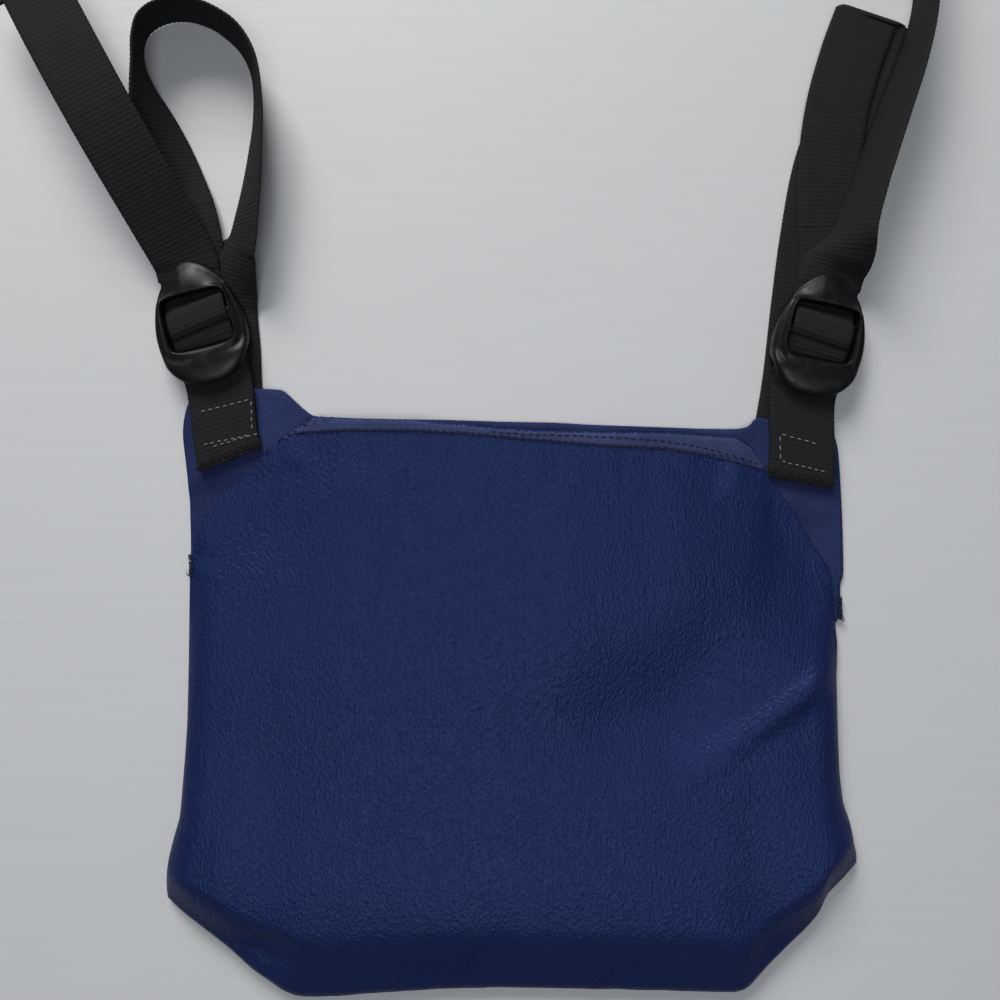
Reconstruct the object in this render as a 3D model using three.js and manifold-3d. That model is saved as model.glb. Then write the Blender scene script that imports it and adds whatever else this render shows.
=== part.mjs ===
// Arm sling: a flat vinyl pouch for the forearm, open along its top edge, with an adjustable
// webbing loop at each top corner. It lies on its back panel with the loops above its mouth.
// Millimetres, +Z up, +X to the right, +Y from the pouch towards the loops. The origin is on
// the resting plane, in the middle of the pouch's back panel.

import * as THREE from 'three';
import { mergeVertices } from 'three/addons/utils/BufferGeometryUtils.js';
import Module from 'manifold-3d';

const wasm = await Module();
wasm.setup();

// Driving dimensions of the pouch
const pouchWidth = 260;       // across the side seams
const pouchHeight = 226;      // from the bottom fold to the mouth
const vinyl = 1.2;            // coated cloth of the panels
const mouthOpening = 4.9;     // clear height inside the mouth
const bellyHeight = 7.5;      // clear height inside, half way down
const baseHeight = 11.5;      // clear height inside, above the folded base
const sideRoll = 13;          // how far in from a side seam the front panel rises
const baseRoll = 15;          // the same at the bottom fold
const earFlare = 7;           // how far the folded bottom corners stand out at the sides
const earHeight = 45;         // from the bottom fold up to the tips of those corners
const footInset = 42;         // from a side seam to the inner end of a corner seam
const seamAllowance = 4.5;    // from a panel's edge in to the seam threads
const hemWidth = 13;          // turned-out hem along the mouth of the front panel
const tackLength = 9;         // of a bar tack

// Driving dimensions of the webbing, its stitching and the buckles
const webbing = 25;           // width of the straps
const ply = 1.4;              // thickness of one layer of webbing
const thread = 0.7;           // sewing thread
const clearance = 0.3;        // between pieces that touch
const patchLength = 25;       // sewn length of an anchor
const stitchInset = 4;        // from the edge of an anchor to its box stitch
const endHem = 22;            // turned-under end of a tail
const buckleLength = 49.7;
const railWidth = 5.8;        // of the buckle's frame, beside the webbing at its widest
const barToTip = 8;           // from the fixed bar to the buckle's lower tip
const barRadius = 1.5;
const plateLength = 14.5;     // cover plate over the fixed bar
const lipLength = 13.2;       // thumb lip at the other end
const coverHeight = 10.4;     // underside of the cover plate
const coverThickness = 1.8;
const slotClearance = 0.4;    // between the webbing's edge and the rail

const layer = ply + clearance;
const halfWidth = pouchWidth / 2;
const mouthY = pouchHeight / 2;
const baseY = -pouchHeight / 2;
const up = new THREE.Vector3(0, 0, 1);
const radians = THREE.MathUtils.degToRad;
const lerp = THREE.MathUtils.lerp;
const smooth = THREE.MathUtils.smoothstep;

const finishes = {
  vinyl: new THREE.MeshStandardMaterial({ color: 0x1b2c5e, roughness: 0.5, metalness: 0 }),
  backing: new THREE.MeshStandardMaterial({ color: 0x31406a, roughness: 0.9, metalness: 0 }),
  webbing: new THREE.MeshStandardMaterial({ color: 0x17181a, roughness: 0.85, metalness: 0 }),
  plastic: new THREE.MeshStandardMaterial({ color: 0x121315, roughness: 0.35, metalness: 0 }),
  darkThread: new THREE.MeshStandardMaterial({ color: 0x141a30, roughness: 0.8, metalness: 0 }),
  paleThread: new THREE.MeshStandardMaterial({ color: 0xa9a9a6, roughness: 0.8, metalness: 0 }),
};

const sling = new THREE.Group();

function add(name, geometry, finish) {
  const mesh = new THREE.Mesh(geometry, finishes[finish]);
  mesh.name = name;
  sling.add(mesh);
}

// The two ends of the pouch's mouth. Each tab carries a buckle on a short anchor of webbing
// sewn to its front, and the end of the strap sewn behind it. `bar` is the middle of the
// buckle's fixed bar in plan, `lean` the slope of the buckle and of the fold at the tab's edge,
// and `fold` the distance from the bar down to that edge.
const sides = {
  left: {
    bar: new THREE.Vector2(-halfWidth + 10.3, mouthY + 23.6),
    lean: radians(14),
    fold: 11.6,
    anchorShift: 0,
    rootShift: 4,
  },
  right: {
    bar: new THREE.Vector2(halfWidth - 13.1, mouthY + 18.8),
    lean: radians(-12),
    fold: 19.5,
    anchorShift: -3,
    rootShift: -4,
  },
};

for (const side of Object.values(sides)) {
  side.across = new THREE.Vector3(Math.cos(side.lean), Math.sin(side.lean), 0);
  side.along = new THREE.Vector3(-Math.sin(side.lean), Math.cos(side.lean), 0);
}

/** A point given along and across a side's buckle, counted from its fixed bar. */
function onSide(side, along, across, z) {
  const point = new THREE.Vector3(side.bar.x, side.bar.y, z);
  return point.addScaledVector(side.along, along).addScaledVector(side.across, across);
}

/** The same point in plan. */
function planOnSide(side, along, across) {
  const point = onSide(side, along, across, 0);
  return new THREE.Vector2(point.x, point.y);
}

// ---------------------------------------------------------------------------------------
// Panels: each is a sheet stretched between four edge lines, with a height over the table
// ---------------------------------------------------------------------------------------

const tabEdge = -clearance;   // the tab stops this short of the fold line

/** How far the back panel is lifted where a strap's end is sewn behind a tab. */
function tabLift(x, y) {
  let lift = 0;
  for (const side of Object.values(sides)) {
    const dx = x - side.bar.x;
    const dy = y - side.bar.y;
    const along = dx * side.along.x + dy * side.along.y + side.fold;
    const across = dx * side.across.x + dy * side.across.y - side.rootShift / 2;
    const outside = Math.max(Math.abs(across) - webbing * 0.72, -along - patchLength - 4, 0);
    lift = Math.max(lift, 1 - smooth(outside, 0, 10));
  }
  return layer * lift;
}

/** A point of the sheet between four edge lines, each drawn left to right or bottom to top. */
function between(edges, u, v) {
  const bottom = edges.bottom.getPoint(u);
  const top = edges.top.getPoint(u);
  const left = edges.left.getPoint(v);
  const right = edges.right.getPoint(v);
  const point = bottom.multiplyScalar(1 - v).addScaledVector(top, v);
  point.addScaledVector(left, 1 - u).addScaledVector(right, u);
  point.addScaledVector(edges.bottom.getPoint(0), -(1 - u) * (1 - v));
  point.addScaledVector(edges.bottom.getPoint(1), -u * (1 - v));
  point.addScaledVector(edges.top.getPoint(0), -(1 - u) * v);
  point.addScaledVector(edges.top.getPoint(1), -u * v);
  return point;
}

/** A closed sheet: `span` gives the part of the panel it covers, `height` its underside. */
function sheet(edges, span, cells, height, thickness) {
  const shape = new THREE.BoxGeometry(1, 1, 1, cells[0], cells[1], 1);
  const place = shape.getAttribute('position');
  for (let i = 0; i < place.count; i += 1) {
    const u = lerp(span.u[0], span.u[1], place.getX(i) + 0.5);
    const v = lerp(span.v[0], span.v[1], place.getY(i) + 0.5);
    const point = between(edges, u, v);
    const z = height(point.x, point.y, u, v) + (place.getZ(i) + 0.5) * thickness;
    place.setXYZ(i, point.x, point.y, z);
  }
  return shape;
}

function line(points) {
  return new THREE.Path(points.map(([x, y]) => new THREE.Vector2(x, y)));
}

const leftFold = planOnSide(sides.left, -sides.left.fold + tabEdge, 0);
const leftTabOuter = planOnSide(sides.left, -sides.left.fold + tabEdge, -14);
const leftTabInner = planOnSide(sides.left, -sides.left.fold + tabEdge, 13);
const rightTabInner = planOnSide(sides.right, -sides.right.fold + tabEdge, -17);
const rightTabOuter = planOnSide(sides.right, -sides.right.fold + tabEdge, 15);
const leftWaist = baseY + 0.487 * pouchHeight;
const rightWaist = baseY + 0.566 * pouchHeight;
const leftEar = [-halfWidth - earFlare, baseY + earHeight - 6];
const rightEar = [halfWidth + earFlare - 1, baseY + earHeight + 7];

// The bottom line runs from ear to ear: down the left corner seam, along the bottom fold
// and up the right corner seam.
const bottomLine = [
  leftEar,
  [-halfWidth + 10, baseY + 24],
  [-halfWidth + 27, baseY + 10],
  [-halfWidth + footInset, baseY - 2],
  [-halfWidth * 0.4, baseY - 1],
  [0, baseY + 1],
  [halfWidth * 0.45, baseY],
  [halfWidth - footInset + 3, baseY - 0.5],
  [halfWidth - 22, baseY + 19],
  [halfWidth - 8, baseY + 33],
  [halfWidth + 1, baseY + 47],
  rightEar,
];

const backEdges = {
  bottom: line(bottomLine),
  top: line([
    [leftTabOuter.x, leftTabOuter.y],
    [leftFold.x, leftFold.y],
    [leftTabInner.x, leftTabInner.y],
    [-halfWidth + 38.5, mouthY + 14],
    [-halfWidth + 47, mouthY + 5],
    [-halfWidth + 75, mouthY + 3.5],
    [halfWidth * 0.1, mouthY + 2],
    [halfWidth * 0.55, mouthY],
    [rightTabInner.x - 4, mouthY - 1],
    [rightTabInner.x, rightTabInner.y],
    [rightTabOuter.x, rightTabOuter.y],
  ]),
  left: line([
    leftEar,
    [-halfWidth - 7, baseY + 55],
    [-halfWidth - 2.5, baseY + 76],
    [-halfWidth, leftWaist],
    [-halfWidth + 0.5, mouthY - 48],
    [-halfWidth - 2, mouthY - 2],
    [leftTabOuter.x, leftTabOuter.y],
  ]),
  right: line([
    rightEar,
    [halfWidth + 3.5, baseY + 68],
    [halfWidth, baseY + 90],
    [halfWidth - 1.5, rightWaist],
    [halfWidth + 1, mouthY - 60],
    [halfWidth + 1.5, mouthY - 36],
    [halfWidth, mouthY - 12],
    [rightTabOuter.x, rightTabOuter.y],
  ]),
};

// The front panel stops at the slits: its side seams end at the bar tacks, and its top
// corners are cut away on a slant.
const leftSlit = [-halfWidth + 0.8, mouthY - 55];
const rightSlit = [halfWidth - 0.5, mouthY - 72];
const frontEdges = {
  bottom: line(bottomLine),
  top: line([
    leftSlit,
    [-halfWidth + 2.5, mouthY - 40],
    [-halfWidth + 14, mouthY - 26],
    [-halfWidth + 35, mouthY - 6],
    [-halfWidth + 49, mouthY + 3],
    [-halfWidth + 92, mouthY + 2.5],
    [0, mouthY - 0.5],
    [halfWidth * 0.55, mouthY - 2.5],
    [halfWidth - 36, mouthY - 5.5],
    [halfWidth - 26, mouthY - 24],
    [halfWidth - 12, mouthY - 42],
    [halfWidth - 3, mouthY - 60],
    rightSlit,
  ]),
  left: line([
    leftEar,
    [-halfWidth - 7, baseY + 55],
    [-halfWidth - 2.5, baseY + 76],
    [-halfWidth, leftWaist],
    leftSlit,
  ]),
  right: line([
    rightEar,
    [halfWidth + 3.5, baseY + 68],
    [halfWidth, baseY + 90],
    [halfWidth - 1.5, rightWaist],
    rightSlit,
  ]),
};

/** A quarter-round rise from 0 at the edge to 1 at `reach`. */
function roll(distance, reach) {
  const d = THREE.MathUtils.clamp(distance / reach, 0, 1);
  return Math.sqrt(1 - (1 - d) ** 2);
}

/** Clear height between the panels, from its place on the front panel. */
function inside(u, v) {
  const side = Math.min(u, 1 - u) * pouchWidth;
  const base = v * pouchHeight;
  const middle = lerp(baseHeight, bellyHeight, smooth(v, 0.1, 0.6));
  const height = lerp(middle, mouthOpening, smooth(v, 0.6, 1));
  return height * roll(side, sideRoll) * roll(base, baseRoll);
}

function backUnderside(x, y) {
  return tabLift(x, y);
}

function frontUnderside(x, y, u, v) {
  return tabLift(x, y) + vinyl + clearance + inside(u, v);
}

const whole = { u: [0, 1], v: [0, 1] };
const panelCells = [28, 20];
add('back_panel', sheet(backEdges, whole, panelCells, backUnderside, vinyl), 'vinyl');
add('front_panel', sheet(frontEdges, whole, panelCells, frontUnderside, vinyl), 'vinyl');

/** A point on the flat facets that the front panel is made of, on its underside. */
function onFacet(u, v) {
  const cell = [u * panelCells[0], v * panelCells[1]];
  const first = cell.map((value, i) => Math.min(Math.floor(value + 1e-6), panelCells[i] - 1));
  const corner = (i, j) => {
    const cu = (first[0] + i) / panelCells[0];
    const cv = (first[1] + j) / panelCells[1];
    const point = between(frontEdges, cu, cv);
    return new THREE.Vector3(point.x, point.y, frontUnderside(point.x, point.y, cu, cv));
  };
  const [s, t] = cell.map((value, i) => value - first[i]);
  const low = corner(0, 0).lerp(corner(1, 0), s);
  return low.lerp(corner(0, 1).lerp(corner(1, 1), s), t);
}

/** A closed strip on the front panel between two lines of v, raised clear of its facets. */
function onFront(u, v, cells, rise, thickness) {
  const shape = new THREE.BoxGeometry(1, 1, 1, cells[0], cells[1], 1);
  const place = shape.getAttribute('position');
  for (let i = 0; i < place.count; i += 1) {
    const uu = lerp(u[0], u[1], place.getX(i) + 0.5);
    const vv = lerp(v[0], v[1], place.getY(i) + 0.5);
    const point = onFacet(uu, vv);
    point.z += vinyl + rise + (place.getZ(i) + 0.5) * thickness;
    place.setXYZ(i, point.x, point.y, point.z);
  }
  return shape;
}

const hemShare = hemWidth / pouchHeight;
const threadShare = thread / pouchHeight;
const hemCells = [5, 23];      // of the panel's cells, from the left
const hemSpan = hemCells.map((cell) => cell / panelCells[0]);
const hemSteps = 2 * (hemCells[1] - hemCells[0]);
const hemRise = 2 * clearance;
const hem = onFront(hemSpan, [1 - hemShare, 1], [hemSteps, 3], hemRise, vinyl / 2);
add('front_hem', hem, 'backing');

function hemStitch(share) {
  const v = 1 - hemShare * share;
  const rise = hemRise + vinyl / 2 + clearance;
  return onFront(hemSpan, [v - threadShare, v + threadShare], [hemSteps, 1], rise, thread);
}

add('hem_stitch_lower', hemStitch(0.85), 'darkThread');
add('hem_stitch_upper', hemStitch(0.35), 'darkThread');

/** A seam thread inside the pouch, lying on the back panel a seam allowance in from its edge. */
function seamThread(u, v, cells) {
  const underside = () => vinyl + clearance;
  return sheet(frontEdges, { u, v }, cells, underside, thread);
}

const sideShare = seamAllowance / pouchWidth;
const baseShare = seamAllowance / pouchHeight;
const threadWide = thread / pouchWidth;
const leftSeamU = [sideShare, sideShare + 2 * threadWide];
const rightSeamU = [1 - sideShare - 2 * threadWide, 1 - sideShare];
const baseV = [baseShare, baseShare + 2 * threadShare];
const cornerU = 0.23;
add('left_side_seam', seamThread(leftSeamU, [0.06, 0.88], [1, 16]), 'darkThread');
add('right_side_seam', seamThread(rightSeamU, [0.06, 0.88], [1, 16]), 'darkThread');
add('left_corner_seam', seamThread([0.04, cornerU - 0.01], baseV, [8, 1]), 'darkThread');
add('bottom_seam', seamThread([cornerU, 1 - cornerU], baseV, [14, 1]), 'darkThread');
add('right_corner_seam', seamThread([1.01 - cornerU, 0.96], baseV, [8, 1]), 'darkThread');

/** A bar tack over the edge of both panels, where a side seam ends. */
function barTack(slit, edge, outward) {
  const size = new THREE.Vector3(2 * thread, tackLength, 2 * vinyl + 1.6);
  const beside = edge.getSpacedPoints(400).filter((p) => Math.abs(p.y - slit[1]) < tackLength);
  const reach = Math.max(slit[0] * outward, ...beside.map((p) => p.x * outward));
  const shape = new THREE.BoxGeometry(size.x, size.y, size.z, 1, 4, 1);
  shape.translate(outward * (reach + clearance + size.x / 2), slit[1] - 1, size.z / 2);
  return shape;
}

add('left_bar_tack', barTack(leftSlit, backEdges.left, -1), 'darkThread');
add('right_bar_tack', barTack(rightSlit, backEdges.right, 1), 'darkThread');

// ---------------------------------------------------------------------------------------
// Webbing: a band swept along a line, with its width direction given at each place
// ---------------------------------------------------------------------------------------

/** A closed band. `at(t)` gives its middle and the direction across it, t from 0 to 1. */
function band(at, steps, width, thickness) {
  const shape = new THREE.BoxGeometry(1, 1, 1, 1, 1, steps);
  const place = shape.getAttribute('position');
  for (let i = 0; i < place.count; i += 1) {
    const t = place.getZ(i) + 0.5;
    const { middle, across } = at(t);
    const ahead = at(Math.min(t + 1e-3, 1)).middle.sub(at(Math.max(t - 1e-3, 0)).middle);
    const out = across.clone().cross(ahead).normalize();
    const point = middle.clone().addScaledVector(across, -place.getX(i) * width);
    point.addScaledVector(out, place.getY(i) * thickness);
    place.setXYZ(i, point.x, point.y, point.z);
  }
  return shape;
}

/** The stretch of a line between two shares of it, less half a clearance at each cut end. */
function stretch(at, length, from, to) {
  const cut = clearance / 2 / length;
  const first = from === 0 ? 0 : from + cut;
  const last = to === 1 ? 1 : to - cut;
  return (t) => at(lerp(first, last, t));
}

/**
 * A strap's route over the table. Each station has its middle in plan, counted from the
 * buckle's fixed bar, its height above what lies under it, and its roll: 0 lies flat and
 * 90 stands on its left edge, the right one up. Over the first `foldShare` of the route the
 * band's cut end turns from the line of the tab's fold to square.
 */
function rolledRoute(side, stations, foldShare = 0) {
  const points = stations.map(([x, y]) => new THREE.Vector3(side.bar.x + x, side.bar.y + y, 0));
  const plan = new THREE.CatmullRomCurve3(points, false, 'catmullrom', 0.5);
  const poses = stations.map(([, , rest, rollAngle]) => new THREE.Vector3(rest, rollAngle, 0));
  const posed = new THREE.CatmullRomCurve3(poses, false, 'catmullrom', 0.5);
  return {
    length: plan.getLength(),
    at: (t) => {
      const ahead = plan.getTangent(t);
      const pose = posed.getPoint(t);
      const angle = radians(Math.max(pose.y, 0));
      const level = ahead.clone().cross(up).normalize();
      if (t < foldShare) level.lerp(side.across, 1 - t / foldShare).normalize();
      const across = level.multiplyScalar(Math.cos(angle)).addScaledVector(up, Math.sin(angle));
      const middle = plan.getPoint(t);
      middle.z = pose.x + (ply / 2) * Math.cos(angle) + (webbing / 2) * Math.sin(angle);
      return { middle, across };
    },
  };
}

/** A route in the upright plane along a side's buckle, with the band square to that plane. */
function uprightRoute(side, profile) {
  const points = profile.map(([along, z]) => onSide(side, along, 0, z));
  const curve = new THREE.CatmullRomCurve3(points, false, 'centripetal');
  return (t) => ({ middle: curve.getPointAt(t), across: side.across.clone() });
}

const tabTop = layer + vinyl;                  // height of the tab's face
const patchTop = tabTop + clearance + 2 * ply + clearance;
const barHeight = tabTop + clearance + ply + barRadius + 2 * clearance - 0.3;
const feedHeight = layer;                      // underside of the strap inside the buckle
const tailHeight = feedHeight + layer + clearance;
const windowStart = plateLength - barToTip;
const windowEnd = buckleLength - barToTip - lipLength;
const tailStart = windowEnd + 8;               // where the tail's free part begins, under the lip
const ladder = { start: windowStart + 8.8, end: windowStart + 14.6, low: 5.2, high: 7.6 };

/** The sewn end of the anchor: both layers of webbing on the front of the tab. */
function anchorPatch(side) {
  const from = onSide(side, -side.fold - patchLength, side.anchorShift * 2, 0);
  const to = onSide(side, -side.fold - clearance, side.anchorShift, 0);
  const z = tabTop + clearance + ply + clearance / 2;
  from.z = z;
  to.z = z;
  const at = (t) => ({ middle: from.clone().lerp(to, t), across: side.across.clone() });
  return band(at, 4, webbing, 2 * ply + clearance);
}

/** The anchor's loop round the fixed bar: up under the bar and back over it. */
function anchorLoop(side) {
  const wrap = barRadius + clearance + ply / 2;
  const low = tabTop + clearance + ply / 2;
  const high = low + ply + clearance;
  const end = -side.fold + clearance;
  const turn = [-60, -20, 20, 60].map((angle) => [
    wrap * Math.cos(radians(angle)),
    barHeight + wrap * Math.sin(radians(angle)),
  ]);
  const route = uprightRoute(side, [
    [end, low],
    [(end - wrap) / 2, low - (wrap + low - barHeight) / 3],
    [-wrap * 0.6, barHeight - wrap * 0.98],
    ...turn,
    [-wrap * 0.5, barHeight + wrap * 0.94],
    [-wrap - 1.6, barHeight + wrap * 0.3],
    [Math.max(end + 1.2, -7.4), high + 0.1],
    [end, high],
  ]);
  const slide = -side.anchorShift / (side.fold - 4);
  const at = (t) => {
    const { middle, across } = route(t);
    const along = middle.clone().sub(onSide(side, 0, 0, middle.z)).dot(side.along);
    middle.addScaledVector(side.across, slide * Math.min(along + 4, 0));
    return { middle, across };
  };
  return band(at, 40, webbing, ply);
}

/** The box stitch: one flat ring of thread on the anchor's sewn end. */
function boxStitch(side) {
  const half = webbing / 2 - stitchInset;
  const long = patchLength - 2 * stitchInset - 3;
  const outline = [[-half, 0], [half, 0], [half, long], [-half, long]];
  const inset = [[-1, -1], [1, -1], [1, 1], [-1, 1]];
  const corner = ([x, y], [dx, dy], grow) => {
    const across = x + dx * grow + side.anchorShift * 1.5;
    const along = y + dy * grow - side.fold - patchLength + stitchInset + 4;
    return planOnSide(side, along, across);
  };
  const shape = new THREE.Shape(outline.map((p, i) => corner(p, inset[i], thread / 2)));
  shape.holes.push(new THREE.Path(outline.map((p, i) => corner(p, inset[i], -thread / 2))));
  const ring = new THREE.ExtrudeGeometry(shape, { depth: thread, bevelEnabled: false });
  ring.translate(0, 0, patchTop + clearance / 2);
  return ring;
}

/** The end of the strap, sewn flat behind the tab. */
function strapRoot(side) {
  const from = onSide(side, -side.fold - patchLength, side.rootShift, ply / 2);
  const to = onSide(side, -side.fold - clearance, side.rootShift, ply / 2);
  const at = (t) => ({ middle: from.clone().lerp(to, t), across: side.across.clone() });
  return band(at, 4, webbing, ply);
}

/** The strap's pass through the buckle: up through the window, over the ladder bar, out. */
function strapWrap(side) {
  const route = uprightRoute(side, [
    [windowStart + 2.4, feedHeight + ply / 2],
    [windowStart + 1.2, feedHeight + ply / 2 + 0.6],
    [windowStart + 1.1, feedHeight + ply / 2 + 3],
    [windowStart + 3, ladder.high - 1.2],
    [ladder.start - 1.6, ladder.high + ply / 2 - 0.1],
    [ladder.start + 0.6, ladder.high + ply / 2 + 2 * clearance],
    [ladder.end - 0.6, ladder.high + ply / 2 + 2 * clearance],
    [ladder.end + 1.1, ladder.high + ply / 2 + clearance],
    [ladder.end + 3, ladder.high - 1],
    [windowEnd - 2, tailHeight + ply / 2 + 0.6],
    [windowEnd + 1, tailHeight + ply / 2],
    [tailStart - clearance, tailHeight + ply / 2],
  ]);
  return band(route, 40, webbing, ply);
}

/** Where a strap comes out from behind its tab, at the fold line. */
function foldStation(side) {
  const point = onSide(side, -side.fold + clearance / 2, side.rootShift, 0);
  return [point.x - side.bar.x, point.y - side.bar.y, 0, 0];
}

/** A place on a buckle's middle line, counted along it from its fixed bar. */
function middleStation(side, along, rest) {
  return [side.along.x * along, side.along.y * along, rest, 0];
}

/**
 * Stations of a strap's free route, from the fixed bar: x as a share of the webbing's width,
 * y in millimetres, rest height as a share of the webbing's width, and roll in degrees.
 */
function freely(stations) {
  return stations.map(([x, y, rest, rollAngle]) => [x * webbing, y, rest * webbing, rollAngle]);
}

/** The last places of a strap on its way into its buckle, over the strap's sewn end. */
function intoBuckle(side) {
  return [30, 21, 10].map((along) => middleStation(side, along, layer));
}

// The left strap stands on edge in an open loop, its buckle end lying over its sewn end.
const leftStrap = [
  foldStation(sides.left),
  ...freely([
    [0.236, 6, 0, 0],
    [0.188, 22, 0, 0],
    [0.184, 36, 0, 0],
    [0.2, 44, 0, 0],
    [0.272, 50, 0, 4],
    [0.432, 55.5, 0, 24],
    [0.56, 61, 0, 45],
    [0.664, 68.5, 0, 57],
    [0.74, 83, 0, 66],
    [0.796, 98, 0, 71],
    [0.744, 114, 0, 76],
    [0.528, 125.2, 0, 81],
    [0.156, 132.8, 0, 85],
    [-0.164, 136, 0, 88],
    [-0.476, 136.8, 0, 90],
    [-0.78, 135, 0, 90],
    [-1, 130.2, 0, 89],
    [-1.064, 122, 0, 84],
    [-0.992, 112, 0, 75],
    [-0.856, 99, 0, 60],
    [-0.728, 85, 0.016, 43],
    [-0.584, 71, 0.064, 21],
    [-0.432, 60, 0.136, 8],
    [-0.344, 50, 0.136, 1],
    [-0.32, 42, 0.08, 0],
  ]),
  ...intoBuckle(sides.left),
];
const leftCuts = { loop: 7, feed: 23 };

// The right strap lies flat, folded over at its top, its buckle end over its sewn end.
const rightRun = [
  foldStation(sides.right),
  ...freely([
    [-0.2, 0, 0, 0],
    [-0.076, 27.2, 0, 0],
    [0.064, 54, 0, 0],
    [0.276, 82.6, 0, 0],
    [0.48, 106, 0, 0],
    [0.72, 126.6, 0, 0],
    [0.96, 143, 0, 0],
  ]),
];
const rightFeed = [
  ...freely([
    [0.92, 143.3, layer / webbing, 0],
    [0.68, 126.9, layer / webbing, 0],
    [0.456, 106, layer / webbing, 0],
    [0.336, 82.6, layer / webbing, 0],
    [0.336, 62, layer / webbing, 0],
    [0.352, 46, layer / webbing, 0],
  ]),
  ...intoBuckle(sides.right),
];

function leftStraps() {
  const side = sides.left;
  const route = rolledRoute(side, leftStrap, 0.06);
  const last = leftStrap.length - 1;
  const cut = { loop: leftCuts.loop / last, feed: leftCuts.feed / last };
  const piece = (from, to, steps) => {
    const at = stretch(route.at, route.length, from, to);
    return band(at, steps, webbing, ply);
  };
  add('left_strap_run', piece(0, cut.loop, 28), 'webbing');
  add('left_strap_loop', piece(cut.loop, cut.feed, 56), 'webbing');
  add('left_strap_feed', piece(cut.feed, 1, 24), 'webbing');
}

function rightStraps() {
  const side = sides.right;
  const run = rolledRoute(side, rightRun, 0.12);
  const feed = rolledRoute(side, rightFeed);
  add('right_strap_run', band(run.at, 24, webbing, ply), 'webbing');
  add('right_strap_feed', band(feed.at, 28, webbing, ply), 'webbing');

  // The fold at the top: half a turn between the ends of the two layers.
  const start = run.at(1);
  const end = feed.at(0);
  const ahead = run.at(1).middle.sub(run.at(0.98).middle).normalize();
  const reach = (end.middle.z - start.middle.z) / 2;
  const turn = (t) => {
    const angle = Math.PI * (t - 0.5);
    const middle = start.middle.clone().lerp(end.middle, t);
    middle.z = start.middle.z + reach + reach * Math.sin(angle);
    middle.addScaledVector(ahead, clearance + reach * Math.cos(angle));
    return { middle, across: start.across.clone() };
  };
  add('right_strap_loop', band(turn, 12, webbing, ply), 'webbing');
}

// The tails: each leaves its buckle under the lip and rises over the strap. The right one
// turns on edge beyond the buckle.
const lipTip = windowEnd + lipLength + 2;
const leftTail = [
  middleStation(sides.left, tailStart, 0),
  middleStation(sides.left, lipTip, 0.088 * webbing),
  ...freely([
    [-0.664, 54.5, 0.304, 0],
    [-0.972, 69.7, 0.584, 0],
    [-1.288, 85, 0.816, 0],
    [-1.584, 99.2, 0.944, 0],
    [-1.892, 113.6, 0.976, 0],
    [-2.212, 128.4, 0.936, 0],
    [-2.536, 143.6, 0.84, 0],
    [-2.864, 159, 0.704, 0],
  ]),
];
const rightTail = [
  middleStation(sides.right, tailStart, 0),
  ...freely([
    [0.36, 42.4, 0, 8],
    [0.448, 48.2, 0, 36],
    [0.552, 56, 0, 62],
    [0.744, 70, 0, 74],
    [0.984, 86, 0, 79],
    [1.216, 101.5, 0, 83],
    [1.428, 116, 0, 87],
    [1.6, 133, 0, 90],
    [1.664, 150, 0, 90],
    [1.656, 170, 0, 88],
    [1.56, 188, 0, 84],
  ]),
];

/** A tail, with its turned-under end and the thread that holds it. */
function tail(name, side, stations) {
  const raised = stations.map(([x, y, rest, rollAngle]) => [x, y, rest + tailHeight, rollAngle]);
  const route = rolledRoute(side, raised, 0.03);
  add(`${name}_tail`, band(route.at, 44, webbing, ply), 'webbing');

  const hemStart = 1 - endHem / route.length;
  const lowered = (drop, narrow) => (t) => {
    const place = route.at(lerp(hemStart, 1 - narrow, t));
    const ahead = route.at(1).middle.sub(route.at(0.97).middle).normalize();
    const out = place.across.clone().cross(ahead).normalize();
    place.middle.addScaledVector(out, drop);
    return place;
  };
  add(`${name}_tail_hem`, band(lowered(-layer, 0.002), 8, webbing - 1, ply), 'webbing');
  const stitch = (t) => {
    const place = lowered(layer / 2 + thread / 2, 0)(0.18);
    const start = place.middle.clone().addScaledVector(place.across, (0.5 - t) * (webbing - 4));
    const ahead = route.at(1).middle.sub(route.at(0.97).middle).normalize();
    return { middle: start, across: ahead };
  };
  add(`${name}_tail_stitch`, band(stitch, 8, thread, thread), 'paleThread');
}

// ---------------------------------------------------------------------------------------
// Buckles: an oval frame with a fixed bar under a cover plate, a ladder bar and a thumb lip
// ---------------------------------------------------------------------------------------

function toSolid(geometry) {
  const bare = geometry.clone();
  bare.deleteAttribute('normal');
  bare.deleteAttribute('uv');
  const merged = mergeVertices(bare, 1e-4);
  return new wasm.Manifold(new wasm.Mesh({
    numProp: 3,
    vertProperties: merged.getAttribute('position').array,
    triVerts: Uint32Array.from(merged.getIndex().array),
  }));
}

function toGeometry(solid) {
  const { vertProperties, triVerts } = solid.getMesh();
  const geometry = new THREE.BufferGeometry();
  geometry.setAttribute('position', new THREE.BufferAttribute(vertProperties, 3));
  geometry.setIndex(new THREE.BufferAttribute(triVerts, 1));
  return geometry;
}

/** A block between two corners, in the buckle's own frame: across, along, up. */
function block(low, high) {
  const size = high.map((value, i) => value - low[i]);
  const shape = new THREE.BoxGeometry(...size);
  shape.translate(low[0] + size[0] / 2, low[1] + size[1] / 2, low[2] + size[2] / 2);
  return toSolid(shape);
}

/** A round bar across the frame. */
function crossBar(along, z, radius, half) {
  const shape = new THREE.CylinderGeometry(radius, radius, 2 * half, 14);
  shape.rotateZ(Math.PI / 2);
  shape.translate(0, along, z);
  return toSolid(shape);
}

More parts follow.
